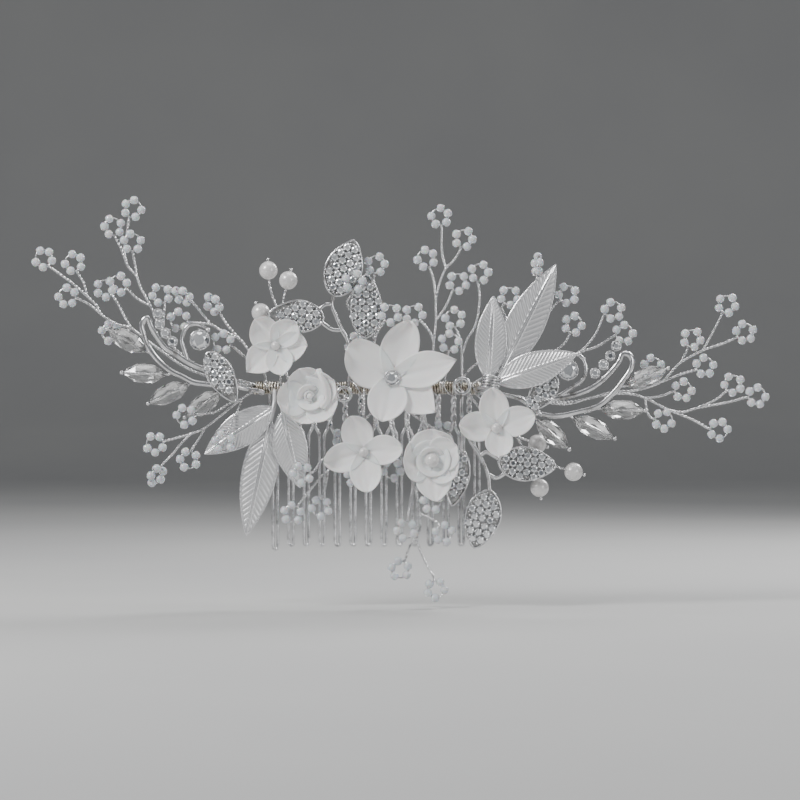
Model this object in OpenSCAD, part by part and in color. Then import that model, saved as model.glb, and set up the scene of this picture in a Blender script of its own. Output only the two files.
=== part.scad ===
// Decorative hair comb: a wire comb that carries a spray of clay flowers, silver leaves,
// stone-set swirls, hanging crystals, pearls and bead loops on twisted wire.
// Worn upright: +X to the right, +Z up out of the hair, -Y towards the onlooker.
// The origin is the middle of the comb's spine. Millimetres.

/* [Comb] */
// Number of teeth
tooth_count = 14; // [6:1:20]
// Distance between the middles of two teeth
tooth_pitch = 3.9; // [3.6:0.1:5]
// How far the teeth reach below the spine
tooth_length = 40; // [25:1:60]
// Radius of the tooth wire
tooth_wire_r = 0.45; // [0.3:0.05:0.5]
// Half the distance between the two legs of a tooth
tooth_half_gap = 0.65; // [0.55:0.05:0.9]
// Radius of the bundle that makes the spine
spine_r = 1.2; // [0.8:0.1:1.5]

/* [Wire and beads] */
// Radius of a twisted stem
stem_r = 0.3; // [0.2:0.05:0.35]
// Radius of the single wire that a bead loop is strung on
loop_wire_r = 0.2; // [0.12:0.02:0.22]
// Radius of a seed bead
bead_r = 1.1; // [0.9:0.05:1.12]
// Radius of a bead loop, to the middle of its wire
loop_r = 2.15; // [2.1:0.05:2.4]
// Radius of the binding wire
binding_r = 0.3; // [0.2:0.05:0.35]

/* [Pearls and crystals] */
// Radius of a pearl
pearl_r = 2.3; // [1.5:0.1:2.5]
// Radius of the pin that a pearl or a crystal turns on
pin_r = 0.25; // [0.2:0.05:0.3]
// Gap between a pin and the hole it runs in
pin_gap = 0.06; // [0.02:0.01:0.1]
// Width of a hanging crystal
crystal_w = 5; // [3:0.1:5.2]
// Thickness of a hanging crystal
crystal_t = 3.6; // [2.5:0.1:4]

/* [Stones and metal] */
// Radius of the tube that the swirls are bent from
swirl_r = 0.6; // [0.4:0.05:0.7]
// Radius of the small set stones
stone_r = 0.9; // [0.6:0.05:0.95]
// Thickness of the leaves
leaf_t = 0.8; // [0.5:0.1:1]
// Thickness of the flower petals
petal_t = 0.9; // [0.6:0.1:1.2]

/* [Hidden] */
$fn = 32;
joint_swell = 1.2;        // a knot in a wire is this much fatter than the wire
end_cut = 0.12;           // a wire segment stops this far short of its knots' middles
spine_x = [-31, 27];
spine_bury = -0.8;        // wires end this deep in the bundle
bead_gap_angle = 63;      // between neighbouring beads on a loop
exit_half_angle = 40;     // between a loop's stem and the beads beside it
bead_bore_r = 0.38;
bore_inset = 0.14;        // the bore sits inwards, because the wire curves through the bead
pin_ball_r = 0.5;
pin_end_gap = 0.1;        // between a ball end and the stone it holds
swirl_y = -5.5;
crystal_y = -4.5;
plate_t = 1;              // thickness of the stone-set plates
tooth_split_z = -12;      // below this the twisted pairs part into teeth
tooth_twist_z = -9.5;

// ---------------------------------------------------------------- helpers

// A point [x, z] or [x, z, y] as a point in space, with y from the spray's own depth
function depth(spray, p) = len(p) > 2 ? p[2]
    : spray[1] + (spray[2] - spray[1]) * min(1, norm([p[0], p[1]] - spray[0]) / spray[3]);
function place(spray, p) = [p[0], depth(spray, p), p[1]];
// A point [x, z] at a given depth
function at_y(p, y) = [p[0], len(p) > 2 ? p[2] : y, p[1]];
function unit(v) = v / norm(v);

module rod(a, b, r, cut = 0) {
    d = b - a;
    translate(a + unit(d) * cut)
        rotate([0, acos(d[2] / norm(d)), atan2(d[1], d[0])])
            cylinder(h = norm(d) - 2 * cut, r = r);
}

// A skew turn keeps a knot's poles clear of the stretches that meet in it
knot_turn = [50, 25, 35];
ring_lap = 0.1;           // a stem's first knot sits this far outside the ring's own line

// A bent wire: straight stretches with a knot at every bend
module wire(path, r, last_knot = true) {
    last = len(path) - 1;
    for (i = [0 : last - 1]) rod(path[i], path[i + 1], r, end_cut * r / 0.3);
    for (i = [0 : last_knot ? last : last - 1])
        translate(path[i]) rotate(knot_turn) sphere(r = r * joint_swell);
}

// Children drawn in the XY plane stand upright and face the onlooker
module facing(x, y, z) translate([x, y, z]) rotate([90, 0, 0]) children();

// ---------------------------------------------------------------- comb

function tooth_x(i) = (i - (tooth_count - 1) / 2) * tooth_pitch + 0.5;
leg_top_x = tooth_pitch / 2 - tooth_wire_r - 0.01;

module tooth(x, drop) {
    bend_z = -tooth_length + drop + tooth_half_gap + tooth_wire_r;
    for (side = [-1, 1]) {
        low = [x + side * tooth_half_gap, 0, bend_z];
        split = [x + side * tooth_half_gap, 0, tooth_split_z];
        twist = [x + side * leg_top_x, 0, tooth_twist_z];
        top = [x + side * leg_top_x, 0, 0];
        rod(low, split, tooth_wire_r);
        rod(split, twist, tooth_wire_r, end_cut);
        rod(twist, top, tooth_wire_r);
        for (knot = [split, twist]) translate(knot) sphere(r = tooth_wire_r + 0.005);
    }
    facing(x, 0, bend_z)
        rotate([0, 0, 180])
            rotate_extrude(angle = 180) translate([tooth_half_gap, 0]) circle(r = tooth_wire_r);
}

module comb_teeth() color("silver")
    for (i = [0 : tooth_count - 1]) tooth(tooth_x(i), i == 0 ? -1 : 0);

module comb_spine() color("gray")
    rod([spine_x[0], 0, 0], [spine_x[1], 0, 0], spine_r);

binding_pitch = 1.3;
module binding_wire() color("darkgoldenrod")
    for (x = [spine_x[0] + 1 : binding_pitch : spine_x[1] - 0.5])
        translate([x, 0, 0]) rotate([0, 90, 0])
            rotate_extrude() translate([spine_r + binding_r + 0.02, 0]) circle(r = binding_r);

// ---------------------------------------------------------------- sprays of bead loops

// Each loop: [centre, side of its bare arc, tilt about its stem, route of the stem from the loop].
// Points are [x, z], or [x, z, y] where the depth is the point's own.
// Each spray: [[root x, z], depth at the root, depth at the tips, reach].
OUTER_LEFT = [[-30, 0], -1.2, -1.8, 60];
outer_left_loops = [
    [[-83, 32.5], 1, 0, [[-81.5, 30.5], [-76, 26.5], [-72, 23], [-69.5, 20.5], [-68.5, 18.5],
        [-64.5, 16], [-61, 15], [-55, 10.5], [-47, 5], [-38, 2], [-30.2, 0.5, spine_bury]]],
    [[-75.5, 31.5], 1, 0, [[-74.5, 29], [-73, 26.5], [-72, 23]]],
    [[-77, 23, -3], -1, 0, [[-74.5, 22.5, -2.8], [-71.5, 21], [-68.5, 18.5]]],
    [[-67.5, 25], -1, 0, [[-65.5, 23], [-64, 20.5], [-62.5, 17.5], [-61, 15]]],
    [[-66.5, 14, 0.6], 1, 0, [[-63.5, 14, 0.2], [-61, 15]]],
];
UPPER_LEFT = [[-29, 1], -2.2, -2.5, 50];
upper_left_loops = [
    [[-60.5, 45], -1, 0, [[-61.5, 42.5], [-62, 39], [-62.5, 35], [-62, 31], [-59.5, 28]]],
    [[-65.5, 40.5], -1, 0, [[-65, 38], [-63.5, 35], [-62, 31]]],
    [[-60.5, 36.5, -4.2], -1, 0, [[-60.5, 34, -3.4], [-60, 31], [-59.5, 28], [-58.5, 25], [-56, 20.5],
        [-55, 18], [-53, 14], [-49, 9], [-42, 4.5], [-34, 2], [-28.6, 0.6, spine_bury]]],
    [[-64, 26, -4.2], -1, 0, [[-61.5, 24.5, -3.2], [-59.5, 22.5], [-56, 20.5]]],
    [[-53.5, 23.5], -1, 0, [[-52.5, 21], [-52.8, 17.5], [-53, 14]]],
    [[-48, 23, -3.6], 1, 55, [[-45.5, 21.5, -3.6], [-43, 18.5], [-41, 16]]],
    [[-49, 17], 1, 0, [[-46, 16.5], [-41, 16], [-38.5, 14.5], [-34, 12.5], [-31.5, 9.5], [-28, 5],
        [-27, 0.5, spine_bury]]],
    [[-40.5, 21], 1, 50, [[-38.5, 18.5], [-37, 16], [-34, 12.5]]],
    [[-38, 11.5, -3.8], 1, 0, [[-35.5, 10.5, -3.4], [-32, 7.5], [-28, 5]]],
];
LOWER_LEFT = [[-28, -1], -2.2, -2.8, 30];
lower_left_loops = [
    [[-47, -7, -8], 1, 0, [[-43, -6.5, -7.4], [-39.5, -6, -5.5], [-36.5, -4, -3.5], [-33, -2.5]]],
    [[-55, -14], -1, 0, [[-51.5, -13], [-46, -11.5], [-42.5, -10], [-38, -6.5], [-33, -2.5],
        [-30, -0.8, spine_bury]]],
    [[-54.5, -22], 1, 55, [[-53, -19], [-50.5, -16.5], [-48.5, -14], [-46, -11.5]]],
    [[-46.5, -18], 1, 0, [[-45.5, -15], [-43.5, -12], [-42.5, -10]]],
    [[-37.5, -13.5, -6.4], 1, 0, [[-36, -10, -5.8], [-34.5, -6.5, -4.5], [-33, -2.5]]],
];
TOP = [[8, 0], -2.2, -2.6, 45];
top_loops = [
    [[10, 18.5], -1, 0, [[12.5, 16], [14, 14], [15, 11.5]]],
    [[16.5, 43], 1, 0, [[17, 40], [17, 34], [18, 30]]],
    [[22.5, 37.5], 1, 0, [[21.5, 34.5], [20, 32], [18, 30], [16.5, 26.5], [15.5, 22], [15.5, 17],
        [15, 11.5], [14.5, 5], [14, 0, spine_bury]]],
    [[13, 32.5], 1, 0, [[14, 30], [15, 26.5], [15.5, 22]]],
    [[21, 26.5], 1, 0, [[19.5, 24], [18, 20.5], [15.5, 17]]],
    [[20, 17.5], 1, 0, [[20.5, 15], [21.5, 12], [22, 8.5], [22, 3], [21.7, 0, spine_bury]]],
    [[19, 11.5, -5], -1, 0, [[18.5, 8.5, -4], [18, 4], [17.5, 0, spine_bury]]],
    [[26.5, 29], 1, 0, [[26, 26.5], [26.5, 22.5], [25.5, 16], [23.5, 12.5], [22, 8.5]]],
    [[0.5, 31], 1, 0, [[0, 28], [-0.5, 24], [-1, 20], [0, 12], [0.5, 5], [1, 0, spine_bury]]],
    [[-5, 26.5, -7], 1, 0, [[-5.5, 23.5, -6.6], [-6.8, 21.5, -4.6], [-5.5, 18.5], [-2.5, 12], [0.5, 5]]],
    [[4, 18.5, -6.8], 1, 0, [[2.5, 16.5, -6.8], [0.5, 13, -6.2], [0, 9, -4.2], [0.5, 5]]],
    [[-4.5, 11, 0.4], 1, 0, [[-3, 8.5, -0.6], [0.5, 5]]],
];
UPPER_RIGHT = [[26, 0], -1.6, -1.9, 35];
upper_right_loops = [
    [[34, 23], 1, 0, [[32, 20], [34, 14.5], [31, 9], [25.5, 6], [22.5, 3, -1.2], [20.4, 0, spine_bury]]],
    [[41, 31, -0.4], 1, 75, [[41, 28, -0.4], [39, 20], [35, 12], [30, 4]]],
    [[48.5, 23.5], 1, 0, [[45, 20.5], [40, 13], [35, 8], [30, 4]]],
    [[50, 16], -1, 0, [[49, 13.5], [47.5, 11], [42, 7], [36, 4.5], [30, 4], [24, 0.6, spine_bury]]],
    [[60, 19.5], 1, 0, [[57.5, 18], [55.5, 13.5], [51.5, 9], [45, 5.5], [38, 2], [30, 1.5],
        [25.2, 0.2, spine_bury]]],
    [[62.8, 13.7], 1, 0, [[60, 13], [56, 10.5], [51.5, 9]]],
];
OUTER_RIGHT = [[56, -1.5], -1.4, -2.4, 45];
outer_right_loops = [
    [[88.5, 21], 1, 0, [[87, 18], [85, 14], [82.5, 9.5]]],
    [[93, 14], 1, 0, [[90.5, 12.5], [87, 11], [82.5, 9.5], [77, 6.5], [75, 4.5], [72, 1.5], [66, -0.5],
        [60, -1], [52, -3], [46, -3.5], [38, -2.5], [31, -1], [26.8, -0.5, -0.3]]],
    [[79.8, 12.4], 1, 0, [[78.5, 9.5], [77, 6.5]]],
    [[83, 5.5], 1, 0, [[80.5, 4.5], [77, 3.5], [72, 1.5]]],
    [[70, 5.5, -0.9], -1, 0, [[70, 2.5], [66, -0.5]]],
];
LOWER_RIGHT = [[56, -1.5], -2.4, -2.8, 45];
lower_right_loops = [
    [[77.5, -0.5], 1, 0, [[74.5, -1], [72, -2], [68, -2.5]]],
    [[90, 1], 1, 0, [[88, -1], [85.5, -3], [81, -5]]],
    [[96, -2], 1, 0, [[92.5, -2.5], [89, -3.5], [81, -5], [77.5, -6], [74, -5.5], [71, -4], [68, -2.5],
        [64.5, -1.5], [60, -1.5], [54, -2.5], [48, -4], [39.5, -3], [31, -1.5], [26.5, -0.6, -1]]],
    [[86.5, -10.5], -1, 0, [[83.5, -10], [80, -8], [74, -5.5]]],
    [[72.5, -8, -4.2], 1, 0, [[69.5, -7.5, -3.4], [68.5, -6, -2.6], [68, -2.5]]],
];
BOTTOM = [[8, -2], -1.5, -2.8, 45];
bottom_loops = [
    [[8, -35.5, -4], 1, 0, [[8.5, -32, -3.6], [9, -28.5], [10, -24]]],
    [[14.5, -28.5, -3.2], 1, 0, [[12, -25.5], [10, -22]]],
    [[17.5, -36.5], 1, 0, [[15.5, -33.5], [11.5, -31.5]]],
    [[6.5, -45.5], 1, 0, [[8, -42.5], [9, -39.5], [10.5, -38], [11.5, -35], [11.5, -31.5], [11, -28.5],
        [10, -24], [10, -22], [9, -14], [8, -9], [8, -4.5], [8, 0, spine_bury]]],
    [[15.5, -50.5], 1, 0, [[15, -47.5], [12.5, -43], [10.5, -38]]],
    [[-18, -21.5, -6.4], 1, 0, [[-15, -21, -5], [-13.5, -18.5, -3.5], [-11.5, -17], [-8, -14]]],
    [[-20.5, -31.5], 1, 0, [[-18, -28], [-16, -25.5], [-13.5, -22.5], [-11.5, -20.5], [-8, -14],
        [-4, -9.5], [0, -5], [-0.5, 0, spine_bury]]],
    [[-13.5, -30], -1, 0, [[-13, -27], [-12, -24], [-11.5, -20.5]]],
    [[-7.5, -12.5, -4.2], 1, 0, [[-5, -10.5, -3.4], [-4, -9.5]]],
    [[-4.5, -22], 1, 0, [[-3, -18.5], [-1, -13], [0, -9], [0, -5]]],
    [[4.5, -20.5], -1, 0, [[4.5, -17.5], [5, -13], [4, -8.5], [3, 0, spine_bury]]],
    [[17, -11], 1, 0, [[14, -9.5], [9.5, -6.5], [8, -4.5]]],
];

// The loop's own frame: its x axis points at the stem, its z axis is the ring's axle
module loop_frame(spray, loop) {
    c = place(spray, loop[0]);
    out = place(spray, loop[3][0]) - c;
    exit = atan2(out[2], out[0]);
    translate(c) rotate([0, -exit, 0]) rotate([loop[2] + 90, 0, 0]) children();
}

function bead_angle(i, side) = side * (i < 3 ? exit_half_angle + i * bead_gap_angle
    : -exit_half_angle - (i - 3) * bead_gap_angle);

module bead() difference() {
    sphere(r = bead_r);
    translate([-bore_inset, 0, 0]) rotate([90, 0, 0])
        cylinder(h = 3 * bead_r, r = bead_bore_r, center = true);
}

module spray_beads(spray, loops) color("aliceblue")
    for (loop = loops)
        loop_frame(spray, loop)
            for (i = [0 : 4]) rotate([0, 0, bead_angle(i, loop[1])]) translate([loop_r, 0, 0]) bead();

// The ring leaves its stem where the stem's own line crosses it
function exit_point(spray, loop) =
    let (c = place(spray, loop[0]), out = place(spray, loop[3][0]) - c)
    c + (loop_r + ring_lap) * unit([out[0], 0, out[2]]) + [0, ring_lap / 2, 0];

// A main stem ends in the bundle; a side stem is a little thinner and ends in another stem's knot
function is_main(loop) = len(loop[3][len(loop[3]) - 1]) > 2;
module spray_wire(spray, loops) color("silver")
    for (i = [0 : len(loops) - 1]) {
        loop = loops[i];
        loop_frame(spray, loop)
            rotate_extrude() translate([loop_r, 0]) circle(r = loop_wire_r);
        wire(concat([exit_point(spray, loop)], [for (p = loop[3]) place(spray, p)]),
            is_main(loop) ? stem_r : stem_r * (0.84 + 0.04 * (i % 4)), is_main(loop));
    }

// ---------------------------------------------------------------- leaves

// A leaf's outline from its base at [0, 0] to its tip at [long, 0]
leaf_steps = 8;
function leaf_half(t, wide, blunt) = wide / 2 * pow(sin(180 * pow(t, 0.85)), blunt);
function leaf_outline(long, wide, blunt = 0.8) = concat(
    [for (i = [0 : leaf_steps]) let (t = i / leaf_steps) [long * t, leaf_half(t, wide, blunt)]],
    [for (i = [leaf_steps - 1 : -1 : 1]) let (t = i / leaf_steps) [long * t, -leaf_half(t, wide, blunt)]]);

// Children, drawn along +X, run from a base point to a tip point, each [x, z, y]
module along(base, tip) {
    a = at_y(base, 0);
    d = at_y(tip, 0) - a;
    translate(a) rotate([0, -atan2(d[2], d[0]), 0])
        rotate([0, 0, asin(d[1] / norm(d))]) rotate([90, 0, 0]) children();
}

// [base, tip, width], points as [x, z, y]
left_leaves = [
    [[-25, -5, -4], [-42.5, -16.5, -3.5], 8.5],
    [[-26, -8, -3.2], [-32, -37, -3.6], 9],
    [[-23, -6, -4.6], [-18.5, -25, -4], 8.5],
];
right_leaves = [
    [[28.5, 2, -4.6], [30, 23, -4.2], 8],
    [[31.5, 3.5, -4], [45.5, 31, -4.4], 9.5],
    [[30.5, 1.5, -5], [50.5, 8.5, -9.6], 8.5],
];
module leaf(spec) {
    long = norm(at_y(spec[1], 0) - at_y(spec[0], 0));
    along(spec[0], spec[1]) {
        translate([0, 0, -leaf_t / 2]) linear_extrude(leaf_t) polygon(leaf_outline(long, spec[2]));
        translate([0.5, 0, leaf_t / 2 - 0.1]) rotate([0, 90, 0]) cylinder(h = long - 1.5, r = 0.3);
    }
}
collar_r = 1.4;
module leaf_sprig_left() color("gainsboro") {
    for (spec = left_leaves) leaf(spec);
    wire([[-26, -3.8, -8.5], [-25, -3.6, -4], [-25, spine_bury, -0.2]], 0.7);
}
module leaf_sprig_right() color("gainsboro") {
    for (spec = right_leaves) leaf(spec);
    wire([[29.5, -4.6, 3], [28.5, -4.4, 0], [26, spine_bury, 0]], 0.7);
}
// The wrapped cuff that gathers the right sprig's three leaves
module leaf_collar() color("silver")
    translate([29, -4.6, 1.2]) rotate([0, 6, 0])
        difference() {
            cylinder(h = 3.6, r1 = collar_r + 0.3, r2 = collar_r + 1.4, center = true);
            cylinder(h = 4, r1 = collar_r, r2 = collar_r + 1.1, center = true);
        }

// ---------------------------------------------------------------- swirls and their stones

left_outer = [[-38.5, 0.5], [-41.5, 1], [-45, 1.5], [-48, 3], [-51, 4.5], [-54, 7], [-56.5, 10.5],
    [-57.5, 13.5], [-58, 15.5], [-57.5, 17], [-56.5, 17.5], [-55.5, 15], [-54, 12.5], [-52, 10],
    [-49.5, 8.5], [-46.5, 6.5], [-43, 5], [-39.5, 4.5]];
left_curl = [[-46.5, 6.5], [-47.5, 10], [-48, 12], [-47.5, 14], [-46.5, 15.5], [-44.5, 16],
    [-43, 15.5], [-41.5, 14.5]];
left_root = [[-38.5, 0.5], [-36, 1], [-33, 0, -4.6], [-29.5, -0.6, -2.2], [-27.5, -1, -1.5]];
right_outer = [[41.5, -6.5], [45.5, -7], [51, -6], [56, -4.5], [59.5, -1.5], [62, 1.5], [64, 4.5],
    [64.5, 7], [63.5, 8.5], [62, 8.5], [61, 6.5], [58.5, 3.5], [55, 0.5], [50.5, -1.5], [45.5, -2.5],
    [41.5, -2.5]];
right_curl = [[45.5, -2.5], [47, -1.5], [50, 0.5], [52, 2], [53, 4.5], [52.5, 7], [51, 8.5]];
right_root = [[41.5, -6.5], [38.5, -4], [36, -2.5], [32, -1.5, -4.5], [28.5, -1.2, -3.2],
    [26.2, -1.2, -1.6]];

// Rows of set stones: [x, z]
left_row = [[-54, 18.5], [-53.5, 16], [-52, 13.7], [-50.3, 11.6]];
right_row = [[60.5, 10.5], [59, 8], [57.3, 5.8], [55.2, 3.7]];
row_stone_r = 1.05;
big_stones = [[-43.5, 12], [48.5, 4.5]];
big_stone_r = 2.3;
cup_wall = 0.25;
cup_y = swirl_y - 0.1;

// A round cup with a stepped seat, open to the front
module cup(p, r) facing(p[0], cup_y, p[1]) difference() {
    translate([0, 0, -0.6]) cylinder(h = 1.5, r = r + cup_wall);
    cylinder(h = 2, r = r + 0.03);
}
module set_stone(p, r) facing(p[0], cup_y, p[1]) {
    cylinder(h = 0.8, r1 = r * 0.6, r2 = r);
    translate([0, 0, 0.8]) cylinder(h = 0.6, r1 = r, r2 = r * 0.55);
}

// Stone-set plates: [base, tip, width], points as [x, z, y]
left_plate = [[-41.5, 9, -6.1], [-34.5, -3.5, -6.1], 6.5];
right_plate = [[45.5, 3, -5.5], [38.5, -5.5, -5.5], 6];
upper_plates = [
    [[-10, 23, -4.2], [-5, 37, -4.2], 9.5],
    [[-2, 12.5, -4.2], [-2, 28.5, -4.2], 8],
    [[-12.5, 17.5, -4.2], [-26.5, 18.5, -4.2], 8],
];
lower_plates = [
    [[29, -25.5, -5], [25, -40, -5], 9],
    [[31, -18.5, -5], [45.5, -19.5, -5], 8.5],
    [[22, -15.5, -4.2], [19.5, -29.5, -4.2], 6],
];
stone_pitch = 2.05;
function plate_long(spec) = norm(at_y(spec[1], 0) - at_y(spec[0], 0));
// Stones stand in rows across the plate, shifted half a step in every other row
function plate_stones(spec) = let (long = plate_long(spec)) [
    for (row = [1 : floor(long / (stone_pitch * 0.87)) - 1])
        let (x = row * stone_pitch * 0.87 + 0.2, shift = row % 2 == 0 ? 0 : stone_pitch / 2,
            room = leaf_half(x / long, spec[2], 0.7) - stone_r * 0.7)
        for (k = [-3 : 3])
            let (y = k * stone_pitch + shift)
            if (abs(y) <= room) [x, y]];

module plate(spec) along(spec[0], spec[1])
    translate([0, 0, -plate_t / 2]) linear_extrude(plate_t)
        polygon(leaf_outline(plate_long(spec), spec[2], 0.7));
module plate_set(spec) along(spec[0], spec[1])
    for (p = plate_stones(spec))
        translate([p[0], p[1], plate_t / 2]) cylinder(h = 0.8, r1 = stone_r, r2 = stone_r * 0.55);

module swirl(outer, curl, root, row, big, pave) {
    wire([for (p = outer) at_y(p, swirl_y)], swirl_r);
    wire([for (p = curl) at_y(p, swirl_y)], swirl_r * 0.8);
    wire([for (p = root) at_y(p, swirl_y)], swirl_r * 0.9);
    for (p = row) cup(p, row_stone_r);
    cup(big, big_stone_r);
    plate(pave);
}
module swirl_left() color("silver")
    swirl(left_outer, left_curl, left_root, left_row, big_stones[0], left_plate);
module swirl_right() color("silver")
    swirl(right_outer, right_curl, right_root, right_row, big_stones[1], right_plate);
module swirl_left_stones() color("white") {
    for (p = left_row) set_stone(p, row_stone_r);
    set_stone(big_stones[0], big_stone_r);
    plate_set(left_plate);
}
module swirl_right_stones() color("white") {
    for (p = right_row) set_stone(p, row_stone_r);
    set_stone(big_stones[1], big_stone_r);
    plate_set(right_plate);
}

// ---------------------------------------------------------------- stone-set branches

eyelet_y = -3.8;
eyelet_t = 0.8;
// [centre, outer radius, bore radius]
left_eyelet = [[-7.5, -1.5], 2.15, 1.3];
right_eyelet = [[22, 0.5], 2.4, 1.5];
branch_r = 0.5;
branch_y = -4.2;
upper_stems = [
    [[-6.5, 0.5, -3.4], [-6, 6], [-6.5, 11.5], [-8, 14.5], [-9.5, 18], [-10.5, 21], [-9.9, 24]],
    [[-8, 14.5], [-10.5, 14.7], [-12.5, 16], [-14, 17.5]],
    [[-10.5, 21], [-12, 21], [-13.5, 20], [-14.5, 18.5]],
    [[-6, 6], [-3, 10], [-2, 13.5]],
];
lower_stems = [
    [[22, -1.8, -3.4], [22, -7], [24, -13], [26.5, -17], [28.5, -21.5], [29, -26.5]],
    [[26.5, -17], [28, -16], [30, -17], [32.5, -18.6]],
    [[28.5, -21.5], [30.5, -22.5], [32.5, -21.5], [33.5, -20]],
    [[22, -7], [22, -12], [21.8, -16.5]],
];
module eyelet(spec) facing(spec[0][0], eyelet_y + eyelet_t / 2, spec[0][1]) difference() {
    cylinder(h = eyelet_t, r = spec[1]);
    translate([0, 0, -0.1]) cylinder(h = eyelet_t + 0.2, r = spec[2]);
}
module branch(stems, plates, ring, tie) {
    for (stem = stems) wire([for (p = stem) at_y(p, branch_y)], branch_r);
    for (spec = plates) plate(spec);
    eyelet(ring);
    rod(tie, [tie[0], spine_bury, tie[2]], branch_r);
}
module pave_branch_upper() color("silver")
    branch(upper_stems, upper_plates, left_eyelet, [-6.5, -3.4, 0.5]);
module pave_branch_lower() color("silver")
    branch(lower_stems, lower_plates, right_eyelet, [22, -3.4, -0.9]);
module pave_upper_stones() color("white") for (spec = upper_plates) plate_set(spec);
module pave_lower_stones() color("white") for (spec = lower_plates) plate_set(spec);

// ---------------------------------------------------------------- flowers

// A petal's outline from the hub outwards
petal_steps = 9;
function petal_half(t, wide, point) =
    wide / 2 * (t < 0.5 ? 0.35 + 0.65 * sin(180 * t) : pow(cos(180 * (t - 0.5)), point));
function petal_outline(long, wide, point) = concat(
    [for (i = [0 : petal_steps]) let (t = i / petal_steps) [long * t, petal_half(t, wide, point)]],
    [for (i = [petal_steps - 1 : -1 : 0]) let (t = i / petal_steps) [long * t, -petal_half(t, wide, point)]]);

// Each flower: [hub [x, z, y], hub radius, petals as [direction, length, width, tip shape, lift]]
flowers = [
    [[4.5, 2.5, -8], 2, [[155, 14, 11, 0.35, 8], [79, 15, 10, 0.4, 6], [14, 17, 9, 0.9, 10],
        [-34, 14, 9.5, 0.8, 8], [-100, 11.5, 10, 0.4, 12]]],
    [[-24.5, 10.5, -7], 1.8, [[135, 8.5, 8, 0.4, 8], [55, 8, 8, 0.4, 8], [-5, 8, 8, 0.4, 4],
        [-140, 10, 8, 0.6, 8], [-75, 8, 8, 0.4, 10]]],
    [[-16, -2, -7], 3, [[32, 7.8, 8.5, 0.4, 14], [110, 7.5, 9, 0.4, 10], [190, 8.5, 9, 0.4, 12],
        [250, 7.5, 9, 0.4, 10], [320, 8, 9, 0.4, 12]]],
    [[-2.5, -16, -6.2], 1.8, [[110, 9.8, 8, 0.45, 8], [7, 10, 7.5, 0.5, 8], [-85, 10.3, 8, 0.5, 8],
        [195, 10.5, 7.5, 0.5, 8]]],
    [[14.5, -18, -7], 3, [[90, 8.2, 11, 0.4, 14], [180, 7.5, 11, 0.4, 10], [-85, 10.5, 9, 0.7, 6],
        [-30, 7.5, 9, 0.5, 12], [30, 7.5, 9, 0.4, 14]]],
    [[30.5, -10, -8], 1.8, [[97, 10.3, 7.5, 0.45, 8], [20, 10.3, 7.5, 0.5, 8], [-80, 7.3, 7, 0.4, 8],
        [175, 9.6, 7.5, 0.45, 8]]],
];
hub_back = 0.6;
module flower_petals(i) color("whitesmoke") {
    spec = flowers[i];
    facing(spec[0][0], spec[0][2], spec[0][1]) {
        translate([0, 0, -hub_back]) cylinder(h = hub_back + petal_t, r = spec[1]);
        for (p = spec[2])
            rotate([0, 0, p[0]]) rotate([0, -p[4], 0])
                linear_extrude(petal_t) polygon(petal_outline(p[1], p[2], p[3]));
    }
}
// The centre that stands on each hub: its radius
centre_r = [1.85, 1.1, 1.8, 1.2, 1.8, 1.3];
module flower_centre(i) color("white") {
    spec = flowers[i];
    facing(spec[0][0], spec[0][2] - petal_t, spec[0][1]) {
        cylinder(h = 0.9, r1 = centre_r[i] * 0.7, r2 = centre_r[i]);
        translate([0, 0, 0.9]) cylinder(h = 0.8, r1 = centre_r[i], r2 = centre_r[i] * 0.5);
    }
}
flower_spine_x = [4.5, -21.5, -15.5, -2.5, 12, 24.3];
module flower_stems() color("silver")
    for (i = [0 : len(flowers) - 1])
        let (hub = flowers[i][0])
            wire([[hub[0], hub[2] + hub_back, hub[1]], [hub[0], -3.4, hub[1]],
                [flower_spine_x[i], -3, hub[1] > 0 ? 2.2 : -2.2],
                [flower_spine_x[i], spine_bury, 0]], 0.35);

// ---------------------------------------------------------------- crystals and pearls

// Each crystal: [outer tip, inner tip, where its pin meets the swirl], points [x, z]
left_crystals = [
    [[-66.3, 14.5], [-57.2, 9.3], [-55.4, 9]],
    [[-62.6, 3.9], [-52.1, 3.4], [-50.5, 4.2]],
    [[-56, -3.6], [-46.5, 0.9], [-44.8, 1.6]],
    [[-46.9, -7], [-38.4, -1], [-37, 0.8]],
];
right_crystals = [
    [[73, 4.7], [63.2, 0.6], [61.6, 1]],
    [[67.3, -5.6], [56.8, -5.3], [55.5, -4.5]],
    [[59.7, -12.4], [49.8, -7.5], [48.8, -6.3]],
    [[48.4, -15], [40.7, -8], [41.5, -6.5]],
];
crystal_sides = 8;
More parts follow.
